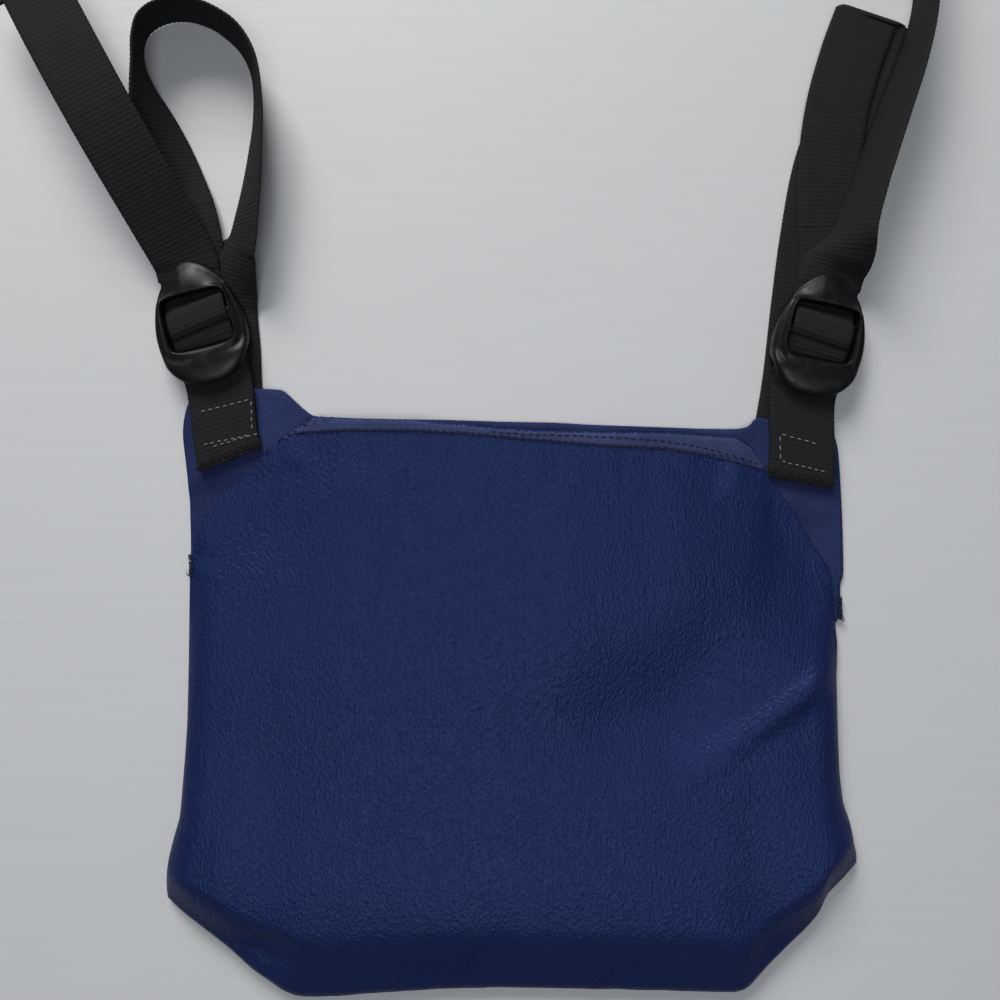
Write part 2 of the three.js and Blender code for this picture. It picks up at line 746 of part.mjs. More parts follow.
function buckle() {
  const slot = webbing / 2 + slotClearance;
  const halfAcross = slot + railWidth - 0.4;
  const halfAlong = buckleLength / 2;
  const centre = halfAlong - barToTip;
  const low = feedHeight + 0.6;
  const top = coverHeight + coverThickness;
  const rim = 2.4;

  // Egg-shaped outline: fuller at the bar end, rounder at the lip.
  const outline = [];
  const count = 44;
  for (let i = 0; i < count; i += 1) {
    const angle = (i / count) * 2 * Math.PI;
    const power = Math.sin(angle) < 0 ? 2.6 : 2.1;
    const x = Math.sign(Math.cos(angle)) * Math.abs(Math.cos(angle)) ** (2 / power);
    const y = Math.sign(Math.sin(angle)) * Math.abs(Math.sin(angle)) ** (2 / power);
    outline.push(new THREE.Vector2(x * (halfAcross - rim), centre + y * (halfAlong - rim)));
  }
  const oval = new THREE.ExtrudeGeometry(new THREE.Shape(outline), {
    depth: top - low - 2 * rim,
    bevelThickness: rim,
    bevelSize: rim,
    bevelSegments: 3,
  });
  oval.translate(0, 0, low + rim);

  const far = 2 * webbing;
  const tip = -barToTip - 1;
  const lipUnder = tailHeight + ply + clearance;
  return toSolid(oval)
    .subtract(block([-slot, windowStart, 0], [slot, windowEnd, far]))
    .subtract(block([-slot, tip, 0], [slot, windowStart + 0.1, coverHeight]))
    .subtract(block([-far, windowEnd - 0.1, 0], [far, far, lipUnder]))
    .subtract(block([-far, tailStart - 1, 0], [far, far, lipUnder + 2]))
    .subtract(block([-far, tip, 0], [far, 3, low + 0.9]))
    .subtract(block([-far, windowEnd + 5, coverHeight - 0.7], [far, far, far]))
    .add(crossBar(0, barHeight, barRadius, slot + 1))
    .add(block([-slot - 1, ladder.start, ladder.low], [slot + 1, ladder.end, ladder.high]));
}

const buckleSolid = buckle();

for (const [name, side] of Object.entries(sides)) {
  add(`${name}_strap_root`, strapRoot(side), 'webbing');
  add(`${name}_anchor_patch`, anchorPatch(side), 'webbing');
  add(`${name}_anchor_loop`, anchorLoop(side), 'webbing');
  add(`${name}_box_stitch`, boxStitch(side), 'paleThread');
  add(`${name}_strap_wrap`, strapWrap(side), 'webbing');

  const frame = new THREE.Mesh(toGeometry(buckleSolid), finishes.plastic);
  frame.name = `${name}_buckle`;
  frame.position.set(side.bar.x, side.bar.y, 0);
  frame.rotation.z = side.lean;
  sling.add(frame);
}

leftStraps();
rightStraps();
tail('left', sides.left, leftTail);
tail('right', sides.right, rightTail);

export default sling;
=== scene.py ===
import math
import random

import bmesh
import bpy
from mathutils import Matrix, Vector, noise
from mathutils.bvhtree import BVHTree


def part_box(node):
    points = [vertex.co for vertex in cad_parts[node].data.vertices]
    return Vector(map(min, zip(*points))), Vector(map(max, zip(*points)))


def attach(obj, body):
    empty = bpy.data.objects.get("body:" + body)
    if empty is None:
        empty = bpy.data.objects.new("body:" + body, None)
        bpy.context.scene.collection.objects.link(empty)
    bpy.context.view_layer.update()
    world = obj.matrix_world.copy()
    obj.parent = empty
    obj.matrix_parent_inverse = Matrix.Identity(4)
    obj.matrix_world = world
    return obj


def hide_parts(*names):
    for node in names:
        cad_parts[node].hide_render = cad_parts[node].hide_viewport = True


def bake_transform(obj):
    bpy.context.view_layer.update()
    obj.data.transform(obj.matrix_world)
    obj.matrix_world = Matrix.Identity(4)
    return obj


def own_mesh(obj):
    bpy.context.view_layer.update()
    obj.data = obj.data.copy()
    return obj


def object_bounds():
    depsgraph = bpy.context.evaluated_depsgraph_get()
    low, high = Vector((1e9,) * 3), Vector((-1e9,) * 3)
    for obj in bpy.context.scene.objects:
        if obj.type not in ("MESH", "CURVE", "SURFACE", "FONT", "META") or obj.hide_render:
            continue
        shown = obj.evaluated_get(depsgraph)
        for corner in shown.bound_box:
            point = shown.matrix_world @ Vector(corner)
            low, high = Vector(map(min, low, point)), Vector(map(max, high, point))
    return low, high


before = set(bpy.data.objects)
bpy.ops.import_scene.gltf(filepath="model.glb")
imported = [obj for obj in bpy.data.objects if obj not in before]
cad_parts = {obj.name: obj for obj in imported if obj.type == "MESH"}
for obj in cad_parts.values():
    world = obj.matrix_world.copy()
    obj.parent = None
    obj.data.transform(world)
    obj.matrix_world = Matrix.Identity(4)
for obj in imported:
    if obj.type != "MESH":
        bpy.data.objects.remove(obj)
cad_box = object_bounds()
mm = 0.001


# ------------------------------------------------------------------ camera, table and light
# The sling lies on a pale painted table and is seen from straight above, at arm's length.
# A broad soft light, as from a window, stands beyond the straps on the left, and a weaker lamp
# hangs overhead.
eye_height = 0.419
eye_plan = (-0.0056, 0.0832)
seen_width = 0.4

camera = bpy.data.cameras.new("camera")
camera.angle = 2 * math.atan(seen_width / 2 / eye_height)
eye = bpy.data.objects.new("camera", camera)
eye.location = (*eye_plan, eye_height)
bpy.context.scene.collection.objects.link(eye)
bpy.context.scene.camera = eye
bpy.context.scene.view_settings.view_transform = "Standard"


class Link:
    """A shader value that changes over a surface. Arithmetic on it adds Math nodes."""

    def __init__(self, finish, socket):
        self.finish = finish
        self.socket = socket

    def _with(self, operation, first, second):
        node = self.finish.add("ShaderNodeMath", {"operation": operation}, [first, second])
        return Link(self.finish, node.outputs[0])

    def __add__(self, other):
        return self._with("ADD", self, other)

    def __sub__(self, other):
        return self._with("SUBTRACT", self, other)

    def __mul__(self, other):
        return self._with("MULTIPLY", self, other)

    def __radd__(self, other):
        return self._with("ADD", other, self)

    def __rsub__(self, other):
        return self._with("SUBTRACT", other, self)

    def __rmul__(self, other):
        return self._with("MULTIPLY", other, self)

    def wave(self):
        node = self.finish.add("ShaderNodeMath", {"operation": "SINE"}, [self])
        return Link(self.finish, node.outputs[0])

    def size(self):
        node = self.finish.add("ShaderNodeMath", {"operation": "ABSOLUTE"}, [self])
        return Link(self.finish, node.outputs[0])

    def between(self, low, high):
        """0 below low, 1 above high, smooth in between."""
        settings = {"interpolation_type": "SMOOTHSTEP"}
        node = self.finish.add("ShaderNodeMapRange", settings, {0: self, 1: low, 2: high})
        return Link(self.finish, node.outputs[0])


class Finish:
    """A material on one Principled shader, built a node at a time."""

    def __init__(self, name, roughness=0.5, gloss=0.5):
        self.material = bpy.data.materials.new(name)
        self.material.use_nodes = True
        self.tree = self.material.node_tree
        self.shader = self.tree.nodes["Principled BSDF"]
        self.shader.inputs["Roughness"].default_value = roughness
        self.shader.inputs["Specular IOR Level"].default_value = gloss

    def add(self, kind, settings=None, values=None):
        node = self.tree.nodes.new(kind)
        for key, value in (settings or {}).items():
            setattr(node, key, value)
        pairs = values.items() if isinstance(values, dict) else enumerate(values or [])
        for key, value in pairs:
            if isinstance(value, Link):
                value = value.socket
            if isinstance(value, bpy.types.NodeSocket):
                self.tree.links.new(value, node.inputs[key])
            else:
                node.inputs[key].default_value = value
        return node

    def place(self, scale, kind="Object"):
        """Coordinates for a pattern, times scale along each axis."""
        source = self.add("ShaderNodeTexCoord").outputs[kind]
        return self.add("ShaderNodeMapping", None, {0: source, 3: scale}).outputs[0]

    def cloud(self, where, scale=1.0, detail=2.0, roughness=0.5):
        """Noise, as a value from 0 to 1."""
        values = {"Vector": where, "Scale": scale, "Detail": detail, "Roughness": roughness}
        return Link(self, self.add("ShaderNodeTexNoise", None, values).outputs[0])

    def cells(self, where, scale=1.0, feature="F1", rough=1.0):
        values = {"Vector": where, "Scale": scale, "Randomness": rough}
        node = self.add("ShaderNodeTexVoronoi", {"feature": feature}, values)
        return Link(self, node.outputs["Distance"])

    def parts(self, vector):
        node = self.add("ShaderNodeSeparateXYZ", None, [vector])
        return [Link(self, output) for output in node.outputs]

    def blend(self, share, low, high):
        """A colour between two, by share."""
        settings = {"data_type": "RGBA", "blend_type": "MIX"}
        node = self.add("ShaderNodeMix", settings, {0: share, 6: low, 7: high})
        return node.outputs[2]

    def colour(self, socket):
        self.tree.links.new(socket, self.shader.inputs["Base Color"])

    def rough(self, link):
        self.tree.links.new(link.socket, self.shader.inputs["Roughness"])

    def relief(self, height, depth, strength=1.0):
        values = {"Height": height, "Distance": depth, "Strength": strength}
        bump = self.add("ShaderNodeBump", None, values)
        self.tree.links.new(bump.outputs[0], self.shader.inputs["Normal"])


def paint(piece, *finishes):
    piece.data.materials.clear()
    for finish in finishes:
        piece.data.materials.append(finish.material)


def make(name, work, smooth=True):
    """An object from a finished bmesh."""
    mesh = bpy.data.meshes.new(name)
    work.to_mesh(mesh)
    work.free()
    mesh.polygons.foreach_set("use_smooth", [smooth] * len(mesh.polygons))
    piece = bpy.data.objects.new(name, mesh)
    bpy.context.scene.collection.objects.link(piece)
    return piece


table_paint = Finish("table_paint", roughness=0.55)
grain = table_paint.cloud(table_paint.place((3, 60, 3)), 4.0, 4.0)
table_paint.colour(table_paint.blend(grain, (0.46, 0.47, 0.48, 1), (0.49, 0.50, 0.51, 1)))
table_paint.relief(grain, 0.00015, 0.4)
table_half = 2.5
table_gap = 0.0003
work = bmesh.new()
bmesh.ops.create_grid(work, x_segments=1, y_segments=1, size=table_half)
bmesh.ops.translate(work, verts=work.verts, vec=(0, 0, cad_box[0].z - table_gap))
table = make("table", work, smooth=False)
paint(table, table_paint)


def soft_light(name, place, size, power, colour):
    lamp = bpy.data.lights.new(name, "AREA")
    lamp.size = size
    lamp.energy = power
    lamp.color = colour
    holder = bpy.data.objects.new(name, lamp)
    holder.location = place
    aim = Vector((0, 0.05, 0)) - Vector(place)
    holder.rotation_euler = aim.to_track_quat("-Z", "Y").to_euler()
    bpy.context.scene.collection.objects.link(holder)


soft_light("window", (-0.42, 1.45, 1.0), 0.8, 34, (1.0, 0.985, 0.97))
soft_light("ceiling", (-0.01, -0.25, 1.4), 0.55, 6.5, (0.95, 0.97, 1.0))
room = bpy.data.worlds.new("room")
room.use_nodes = True
room.node_tree.nodes["Background"].inputs[0].default_value = (0.88, 0.93, 1.0, 1)
room.node_tree.nodes["Background"].inputs[1].default_value = 0.16
bpy.context.scene.world = room


# ------------------------------------------------------------------ back panel and its tabs
# The back of the pouch is one piece of blue coated cloth, cut with a tab at each top corner.
# Its coated face is outside, so the knitted backing shows above the front panel's edge.
vinyl = 1.2 * mm
gap = 0.3 * mm
ply = 1.4 * mm
layer = ply + gap
lifted_half = 0.72
lift_slope = 10 * mm


class Side:
    """One end of the mouth: its buckle's fixed bar and lean, how far below the bar the tab
    folds, and how far the strap sewn behind the tab stands aside."""

    def __init__(self, name, bar, lean, fold, root_shift):
        self.name = name
        self.bar = Vector((*bar, 0)) * mm
        self.along = Vector((-math.sin(lean), math.cos(lean), 0))
        self.across = Vector((math.cos(lean), math.sin(lean), 0))
        self.fold = fold * mm
        self.root_shift = root_shift * mm

    def at(self, along, across=0.0, height=0.0):
        place = self.bar + self.along * along + self.across * across
        return place + Vector((0, 0, height))


left = Side("left", (-119.7, 136.6), math.radians(14), 11.6, 4)
right = Side("right", (116.9, 131.8), math.radians(-12), 19.5, -4)
patch_length = 25 * mm
webbing = 25 * mm


def ease(value, low, high):
    share = min(max((value - low) / (high - low), 0.0), 1.0)
    return share * share * (3 - 2 * share)


def tab_lift(x, y):
    """How far the panels are lifted where a strap's end is sewn behind a tab."""
    lift = 0.0
    for side in (left, right):
        from_bar = Vector((x, y, 0)) - side.bar
        along = from_bar.dot(side.along) + side.fold
        across = from_bar.dot(side.across) - side.root_shift / 2
        outside = max(abs(across) - webbing * lifted_half, -along - patch_length - 4 * mm, 0)
        lift = max(lift, 1 - ease(outside, 0, lift_slope))
    return layer * lift


class Line:
    """A line through points in plan, evenly paced by length, with soft corners."""

    def __init__(self, points, softness=0.0):
        self.points = [Vector(p) * mm for p in points]
        self.marks = [0.0]
        for a, b in zip(self.points, self.points[1:]):
            self.marks.append(self.marks[-1] + (b - a).length)
        self.softness = softness

    def _at(self, distance):
        distance = min(max(distance, 0.0), self.marks[-1])
        for i in range(len(self.points) - 1):
            if distance <= self.marks[i + 1] or i == len(self.points) - 2:
                share = (distance - self.marks[i]) / (self.marks[i + 1] - self.marks[i])
                return self.points[i].lerp(self.points[i + 1], share)

    def at(self, share):
        here = share * self.marks[-1]
        reach = min(self.softness, here, self.marks[-1] - here)
        steps = (-1.0, -0.5, 0.0, 0.5, 1.0)
        return sum((self._at(here + reach * s) for s in steps), Vector((0, 0))) / len(steps)


left_ear = (-137.6, -74.8)
right_ear = (136.0, -60.8)
bottom_edge = Line([
    left_ear, (-128.5, -82), (-119.6, -88.8), (-111.5, -95.5), (-103.6, -102.8),
    (-91.6, -111.6), (-85.6, -114.2), (-70, -114), (-53.6, -112.6), (-28, -111),
    (-5.6, -110.4), (25, -111), (55.6, -111.6), (80, -112.4), (88, -112.4),
    (92.4, -110.8), (100.4, -101.2), (108, -93.6), (115, -87), (119.8, -81.4),
    (123.2, -73.2), (131.6, -65.2), right_ear,
], 2 * mm)
left_seam = [
    left_ear, (-138.2, -70), (-138, -64), (-137.2, -58.8), (-135.2, -50.8), (-132.8, -42.8),
    (-132.2, -36.8), (-131.4, -26.8), (-130.6, -16.8), (-129.8, -5), (-129.4, 10),
    (-129.2, 27.2), (-129, 43.2), (-128.8, 55.2),
]
right_seam = [
    right_ear, (136.2, -57), (135.2, -54), (133.4, -44.4), (130.6, -36.8), (129.2, -25.2),
    (128.4, -6), (128.1, 11.6), (128.5, 26), (127.6, 34.4),
]
back_left = Line(left_seam + [
    (-128.9, 69.2), (-129.2, 83.2), (-130.2, 95.2), (-131.6, 108), (-131.4, 113.2),
    (-130.4, 119), (-129.3, 121.6),
], 2 * mm)
back_right = Line(right_seam + [
    (129.6, 35.2), (130.2, 43.2), (130.0, 50), (131.4, 53.2), (131.2, 64), (130.8, 75.6),
    (130.4, 83.2), (129.4, 96), (128.6, 104), (127.2, 108.8),
], 1.5 * mm)
back_top = Line([
    (-129.3, 121.6), (-120, 124.2), (-104.5, 127.6), (-101, 127.4), (-92, 127), (-84, 119.4),
    (-80.3, 116.6), (-60, 115.6), (-29.4, 115.2), (-5.6, 114.4), (16.2, 114), (30.1, 113.2),
    (57.9, 112.2), (73.8, 111.6), (88, 111.4), (91.7, 111.8), (94.2, 113), (95.6, 115.6),
    (97, 116.2), (112, 112.3), (127.2, 108.8),
], 1.5 * mm)


def stretched(edges, u, v):
    """The point of a sheet stretched between four edge lines, from its shares u and v."""
    bottom, top, left_edge, right_edge = edges
    point = bottom.at(u) * (1 - v) + top.at(u) * v + left_edge.at(v) * (1 - u)
    point += right_edge.at(v) * u - bottom.at(0) * (1 - u) * (1 - v) - bottom.at(1) * u * (1 - v)
    return point - top.at(0) * (1 - u) * v - top.at(1) * u * v


def thicken(work, thickness):
    """Gives a sheet its thickness downwards. Returns its upper and its lower faces."""
    top = work.faces[:]
    made = bmesh.ops.extrude_face_region(work, geom=top, use_keep_orig=True)["geom"]
    under = [item for item in made if isinstance(item, bmesh.types.BMVert)]
    bmesh.ops.translate(work, verts=under, vec=(0, 0, -thickness))
    bmesh.ops.recalc_face_normals(work, faces=work.faces[:])
    return set(top), {item for item in made if isinstance(item, bmesh.types.BMFace)}


def sheet(name, edges, cells, height, thickness):
    """A closed sheet of cloth: a grid stretched between its edges, given its thickness
    downwards. Its face, back and cut edge take three materials."""
    work = bmesh.new()
    bmesh.ops.create_grid(work, x_segments=cells[0], y_segments=cells[1], size=0.5)
    cut = work.loops.layers.uv.new("cut")
    shares = {vertex: (vertex.co.x + 0.5, vertex.co.y + 0.5) for vertex in work.verts}
    for vertex, (u, v) in shares.items():
        plan = stretched(edges, u, v)
        vertex.co = (plan.x, plan.y, height(plan.x, plan.y, u, v))
    for face in work.faces:
        for loop in face.loops:
            loop[cut].uv = (loop.vert.co.x, loop.vert.co.y)
    above, below = thicken(work, thickness)
    for face in work.faces:
        face.material_index = 0 if face in above else 1 if face in below else 2
    return make(name, work)


def ripple(x, y, size, seed=0.0):
    return noise.noise(Vector((x / size, y / size, seed)))


back_edges = (bottom_edge, back_top, back_left, back_right)


def back_face(x, y, u, v):
    """Height of the back panel's inner face. Its free edges above the seams curl a little."""
    edge = min(u, 1 - u)
    curl = (1 - ease(edge, 0, 0.03)) * ease(v, 0.72, 0.8) * (0.5 + 0.5 * ripple(x, y, 0.02))
    top_curl = (1 - ease(1 - v, 0, 0.03)) * ease(u, 0.2, 0.3) * (1 - ease(u, 0.85, 0.9))
    lift = 0.5 * mm * curl + 0.35 * mm * top_curl * (1 + ripple(x, y, 0.03, 5))
    return tab_lift(x, y) + vinyl + lift


back_panel = sheet("pouch_back", back_edges, (150, 110), back_face, vinyl)


def knit_finish(name, dark_shade, pale_shade):
    """The knitted side of the coated cloth: fine wales and courses, worn in patches."""
    knit = Finish(name, roughness=0.92, gloss=0.15)
    weave = knit.parts(knit.place((1, 1, 1)))
    drift = knit.cloud(knit.place((60, 60, 60)))
    wales = (weave[0] * (2 * math.pi / (0.95 * mm)) + 6 * drift).wave()
    courses = (weave[1] * (2 * math.pi / (0.8 * mm))).wave()
    fuzz = knit.cloud(knit.place((1400, 700, 700)), 1.0, 3.0)
    patches = knit.cloud(knit.place((45, 30, 30)), 1.0, 3.0)
    shade = patches.between(0.3, 0.7) * 0.5 + fuzz.between(0.3, 0.75) * 0.35 + wales * 0.08
    knit.colour(knit.blend(shade, dark_shade, pale_shade))
    knit.relief(wales * 0.35 + courses * 0.15 + fuzz, 0.00025, 0.8)
    return knit


knit = knit_finish("knit_backing", (0.008, 0.0155, 0.062, 1), (0.024, 0.036, 0.108, 1))

leather = Finish("blue_vinyl", roughness=0.42, gloss=0.45)
leather.shader.inputs["Specular Tint"].default_value = (0.32, 0.45, 1.0, 1)
pebble = leather.cells(leather.place((1, 0.62, 1)), 1150.0, "SMOOTH_F1")
fine = leather.cloud(leather.place((2600, 1700, 2000)), 1.0, 2.0)
crease = leather.cloud(leather.place((560, 75, 200)), 1.0, 3.0, 0.6)
long_crease = leather.cloud(leather.place((150, 14, 80)), 1.0, 3.0, 0.55)
mottle = leather.cloud(leather.place((22, 16, 20)), 1.0, 3.0)
lines = 1 - (crease - 0.5).size().between(0.0, 0.05)
folds = 1 - (long_crease - 0.5).size().between(0.0, 0.035)
body = leather.blend(mottle, (0.0030, 0.0076, 0.041, 1), (0.0048, 0.0112, 0.058, 1))
# The crease and fold lines are painted a little darker than the vinyl around them: painted shade in
# the creases.
leather.colour(leather.blend(lines * 0.07 + folds * 0.05, body, (0.004, 0.008, 0.042, 1)))
leather.rough(0.40 + 0.10 * mottle + 0.06 * lines)
leather.relief(pebble * 1.2 + fine * 0.3 + crease * 0.35 - folds * 0.14, 0.00028, 1.0)

raw_edge = Finish("cut_edge", roughness=0.9)
fibres = raw_edge.cloud(raw_edge.place((3000, 3000, 3000)), 1.0, 2.0)
raw_edge.colour(raw_edge.blend(fibres, (0.03, 0.04, 0.09, 1), (0.12, 0.14, 0.22, 1)))
raw_edge.relief(fibres, 0.0003, 0.8)

paint(back_panel, knit, leather, raw_edge)
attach(back_panel, "pouch")
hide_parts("back_panel")


# ------------------------------------------------------------------ front panel
# The front of the pouch is a second piece of the same cloth, coated face out, slightly fuller
# than the back. It is sewn inside out along the sides and base and turned, so its edges roll,
# and the boxed corners at the base fold flat and stand out as ears.
front_left = Line(left_seam, 2 * mm)
front_right = Line(right_seam, 2 * mm)
front_top = Line([
    (-128.8, 55.2), (-127.6, 62), (-126.4, 69.4), (-124.3, 74.5), (-114, 86.4),
    (-102.2, 98), (-94, 106.2), (-88, 110.4), (-79.8, 115.9), (-66.3, 115.5),
    (-52.6, 115.1), (-37, 114.7), (-29.1, 113.4), (-19.3, 112.8), (-5.6, 111.4),
    (10.1, 110.4), (33.6, 110), (57.1, 109.8), (72.8, 109.1), (88, 107.6), (93.4, 104.2),
    (97.6, 97.8), (102.8, 89.1), (110.7, 78.5), (118.6, 65.5), (125.8, 55.2),
    (126.6, 48), (126.8, 40), (127.6, 34.4),
], 1.5 * mm)
front_edges = (bottom_edge, front_top, front_left, front_right)
mouth_height = 4.9 * mm
belly_height = 7.5 * mm
base_height = 11.3 * mm
seam_reach = 12 * mm
base_reach = 30 * mm
panel_length = 0.226

# Swells and hollows of the limp cloth: place in plan, reach both ways, slope and height
swells = [
    ((60, -1), (38, 21), 12, -4.4),
    ((86, 30), (40, 18), 30, -2.4),
    ((20, 50), (16, 66), -4, 1.1),
    ((107, 3), (36, 5.5), 36, 2.6),
    ((70, -24), (60, 16), 4, 0.9),
    ((-30, -72), (70, 14), -2, 0.8),
    ((-95, -92), (12, 7), -30, -2.6),
    ((-112, -60), (9, 26), -16, 1.2),
    ((-98, -38), (10, 40), -4, -0.5),
    ((98, -84), (9, 16), 34, -1.4),
    ((118, -56), (10, 20), 20, 1.0),
    ((-60, 84), (60, 14), 0, 0.6),
    ((-104, 78), (14, 20), 40, -0.8),
    ((108, 68), (12, 22), -35, -0.7),
]


def rounded(distance, reach):
    share = min(max(distance / reach, 0.0), 1.0)
    return math.sqrt(1 - (1 - share) ** 2)


def swell(x, y):
    total = 0.0
    for (cx, cy), (rx, ry), slope, tall in swells:
        dx, dy = x - cx * mm, y - cy * mm
        turn = math.radians(slope)
        a = (dx * math.cos(turn) + dy * math.sin(turn)) / (rx * mm)
        b = (dy * math.cos(turn) - dx * math.sin(turn)) / (ry * mm)
        total += tall * mm * math.exp(-a * a - b * b)
    return total


def front_face(x, y, u, v):
    """Height of the front panel's coated face."""
    side = min((x - front_left.at(v).x), (front_right.at(v).x - x))
    base = v * panel_length
    full = belly_height + (base_height - belly_height) * (1 - ease(v, 0.08, 0.5))
    mouth = mouth_height * (0.12 + 0.88 * ease(min(u, 1 - u), 0.16, 0.34))
    full += (mouth - full) * ease(v, 0.6, 1.0)
    roll = 0.35 * rounded(base, 5 * mm) + 0.65 * ease(base, 0, base_reach)
    inside = rounded(side, seam_reach) * roll
    soft = ease(side, 0, 14 * mm) * ease(base, 0, 16 * mm) * (1 - 0.8 * ease(v, 0.9, 1.0))
    pucker = ripple(y, x / 3, 0.008, 3.0) * (1 - ease(side, 2 * mm, 15 * mm)) * 0.5 * mm
    pucker += ripple(x, y / 3, 0.009, 7.0) * (1 - ease(base, 3 * mm, 26 * mm)) * 0.55 * mm
    gather = ripple(x, y / 5, 0.006, 11.0) * ease(v, 0.86, 0.95) * 0.32 * mm
    waves = ripple(x, y, 0.045, 1.0) * 0.5 * mm + ripple(x * 2, y * 0.5, 0.03, 2.0) * 0.25 * mm
    lift = tab_lift(x, y) + vinyl + gap + full * inside
    return lift + vinyl + (swell(x, y) + waves) * soft + (pucker + gather) * ease(side, 0, 3 * mm)


front_panel = sheet("pouch_front", front_edges, (210, 160), front_face, vinyl)
paint(front_panel, leather, knit, raw_edge)
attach(front_panel, "pouch")
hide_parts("front_panel")


def caster(*pieces):
    """Finds the height of what lies highest at a place in plan."""
    trees = []
    for piece in pieces:
        work = bmesh.new()
        work.from_mesh(piece.data)
        trees.append(BVHTree.FromBMesh(work))
        work.free()

    def height(x, y, fallback=0.0):
        hits = [tree.ray_cast(Vector((x, y, 0.2)), Vector((0, 0, -1)))[0] for tree in trees]
        return max([hit.z for hit in hits if hit is not None] + [fallback])

    return height


pouch_top = caster(front_panel, back_panel)


# ------------------------------------------------------------------ hem along the mouth
# The front panel's top is turned out and sewn down, so a strip of its knitted backing shows
# between the mouth and the stitching. The strip narrows to nothing at the left.
hem_upper = Line([
    (-86, 110.6), (-79.6, 114.6), (-66.3, 114.6), (-52.6, 114.2), (-37, 113.8), (-29.1, 112.7),
    (-19.3, 112), (-5.6, 110.7), (10.1, 109.7), (33.6, 109.3), (57.1, 109.1), (72.8, 108.4),
    (87, 107.3), (93, 104), (98.6, 96.6),
], 1 * mm)
hem_lower = Line([
    (-87.9, 109.2), (-77, 110), (-64.4, 110.3), (-37, 110), (-19.3, 109), (-9.5, 108.1),
    (6.2, 106.6), (17.9, 105.6), (33.6, 104.4), (57.1, 103.1), (68.9, 101.5), (80.6, 99.2),
    (90.4, 96.8), (98.4, 95.0),
], 1 * mm)


def strip(name, upper, lower, cells, rise, thickness):
    work = bmesh.new()
    bmesh.ops.create_grid(work, x_segments=cells[0], y_segments=cells[1], size=0.5)
    for vertex in work.verts:
        u, v = vertex.co.x + 0.5, vertex.co.y + 0.5
        plan = lower.at(u).lerp(upper.at(u), v)
        crown = rounded(min(v, 1 - v), 0.25) * thickness
        crown *= rounded(min(u, 1 - u), 0.02)
        crumple = 0.12 * mm * ripple(plan.x, plan.y, 0.004, 9.0)
        vertex.co = (plan.x, plan.y, pouch_top(plan.x, plan.y) + rise + crown + crumple)
    thicken(work, thickness)
    return make(name, work)


hem = strip("mouth_hem", hem_upper, hem_lower, (260, 8), 0.25 * mm, 0.6 * mm)
# The hem shows the same knitted backing as the tabs, but it is painted about twice as light: a
# painted sheen for the light the turned strip catches.
hem_knit_painted_sheen = knit_finish("hem_backing", (0.020, 0.028, 0.080, 1), (0.044, 0.056, 0.135, 1))
paint(hem, hem_knit_painted_sheen)
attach(hem, "pouch")
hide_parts("front_hem")


# ------------------------------------------------------------------ hem stitching
# Two rows of dark lockstitch hold the hem. Each stitch is a short raised length of thread
# pulled into the cloth at both ends.
navy_thread = Finish("navy_thread", roughness=0.8, gloss=0.2)
twist = navy_thread.cloud(navy_thread.place((4000, 4000, 4000)), 1.0, 2.0)
navy_thread.colour(navy_thread.blend(twist, (0.006, 0.008, 0.022, 1), (0.016, 0.020, 0.050, 1)))
navy_thread.relief(twist, 0.0002, 0.6)
top_of_hem = caster(front_panel, back_panel, hem)


def thread_run(work, start, end, thickness, bow=0.35):
    """One stitch: a rounded length of thread from start to end, highest in the middle."""
    made = bmesh.ops.create_icosphere(work, subdivisions=2, radius=1.0)["verts"]
    middle = (start + end) / 2
    ahead = (end - start) / 2
    level = Vector((-ahead.y, ahead.x, 0)).normalized() * thickness / 2
    lift = level.cross(ahead).normalized() * thickness / 2
    if lift.z < 0:
        lift = -lift
    for vertex in made:
        a, b, c = vertex.co
        full = (1 - a * a) ** 0.15 if abs(a) < 1 else 0.0
        vertex.co = middle + ahead * a + level * b + lift * (c + 2 * bow * (1 - a * a)) * full


def stitches(work, path, pitch, thickness, surface, seed, share=0.72):
    """A row of stitches along a line in plan, each on the surface under it."""
    draw = random.Random(seed)
    length = path.marks[-1]
    count = int(length / pitch)
    for i in range(count):
        a = path.at((i + 0.5 - share / 2) / count)
        b = path.at((i + 0.5 + share / 2) / count)
        wander = Vector((draw.uniform(-1, 1), draw.uniform(-1, 1))) * 0.12 * mm
        ends = []
        for p in (a + wander, b + wander):
            ends.append(Vector((p.x, p.y, surface(p.x, p.y) + thickness * 0.2)))
        thread_run(work, ends[0], ends[1], thickness)


upper_row = Line([
    (-9.5, 110), (6.2, 108.9), (25.8, 108.5), (41.4, 107.7), (57.1, 106.5), (64.9, 105.3),
    (72.8, 104.2), (78.7, 102.6), (90.4, 99.5),
], 1 * mm)
lower_row = Line([
    (-87.9, 110), (-64.4, 111.2), (-37, 110.8), (-19.3, 109.8), (-9.5, 108.9), (6.2, 107.4),
    (17.9, 106.4), (33.6, 105.2), (57.1, 103.9), (68.9, 102.3), (80.6, 100.9), (90.4, 99),
    (96.4, 97.2),
], 1 * mm)
for row, seed, node in ((upper_row, 1, "hem_stitch_upper"), (lower_row, 2, "hem_stitch_lower")):
    work = bmesh.new()
    stitches(work, row, 2.8 * mm, 0.42 * mm, top_of_hem, seed)
    row_piece = make(f"{node}_run", work)
    paint(row_piece, navy_thread)
    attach(row_piece, "pouch")
    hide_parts(node)

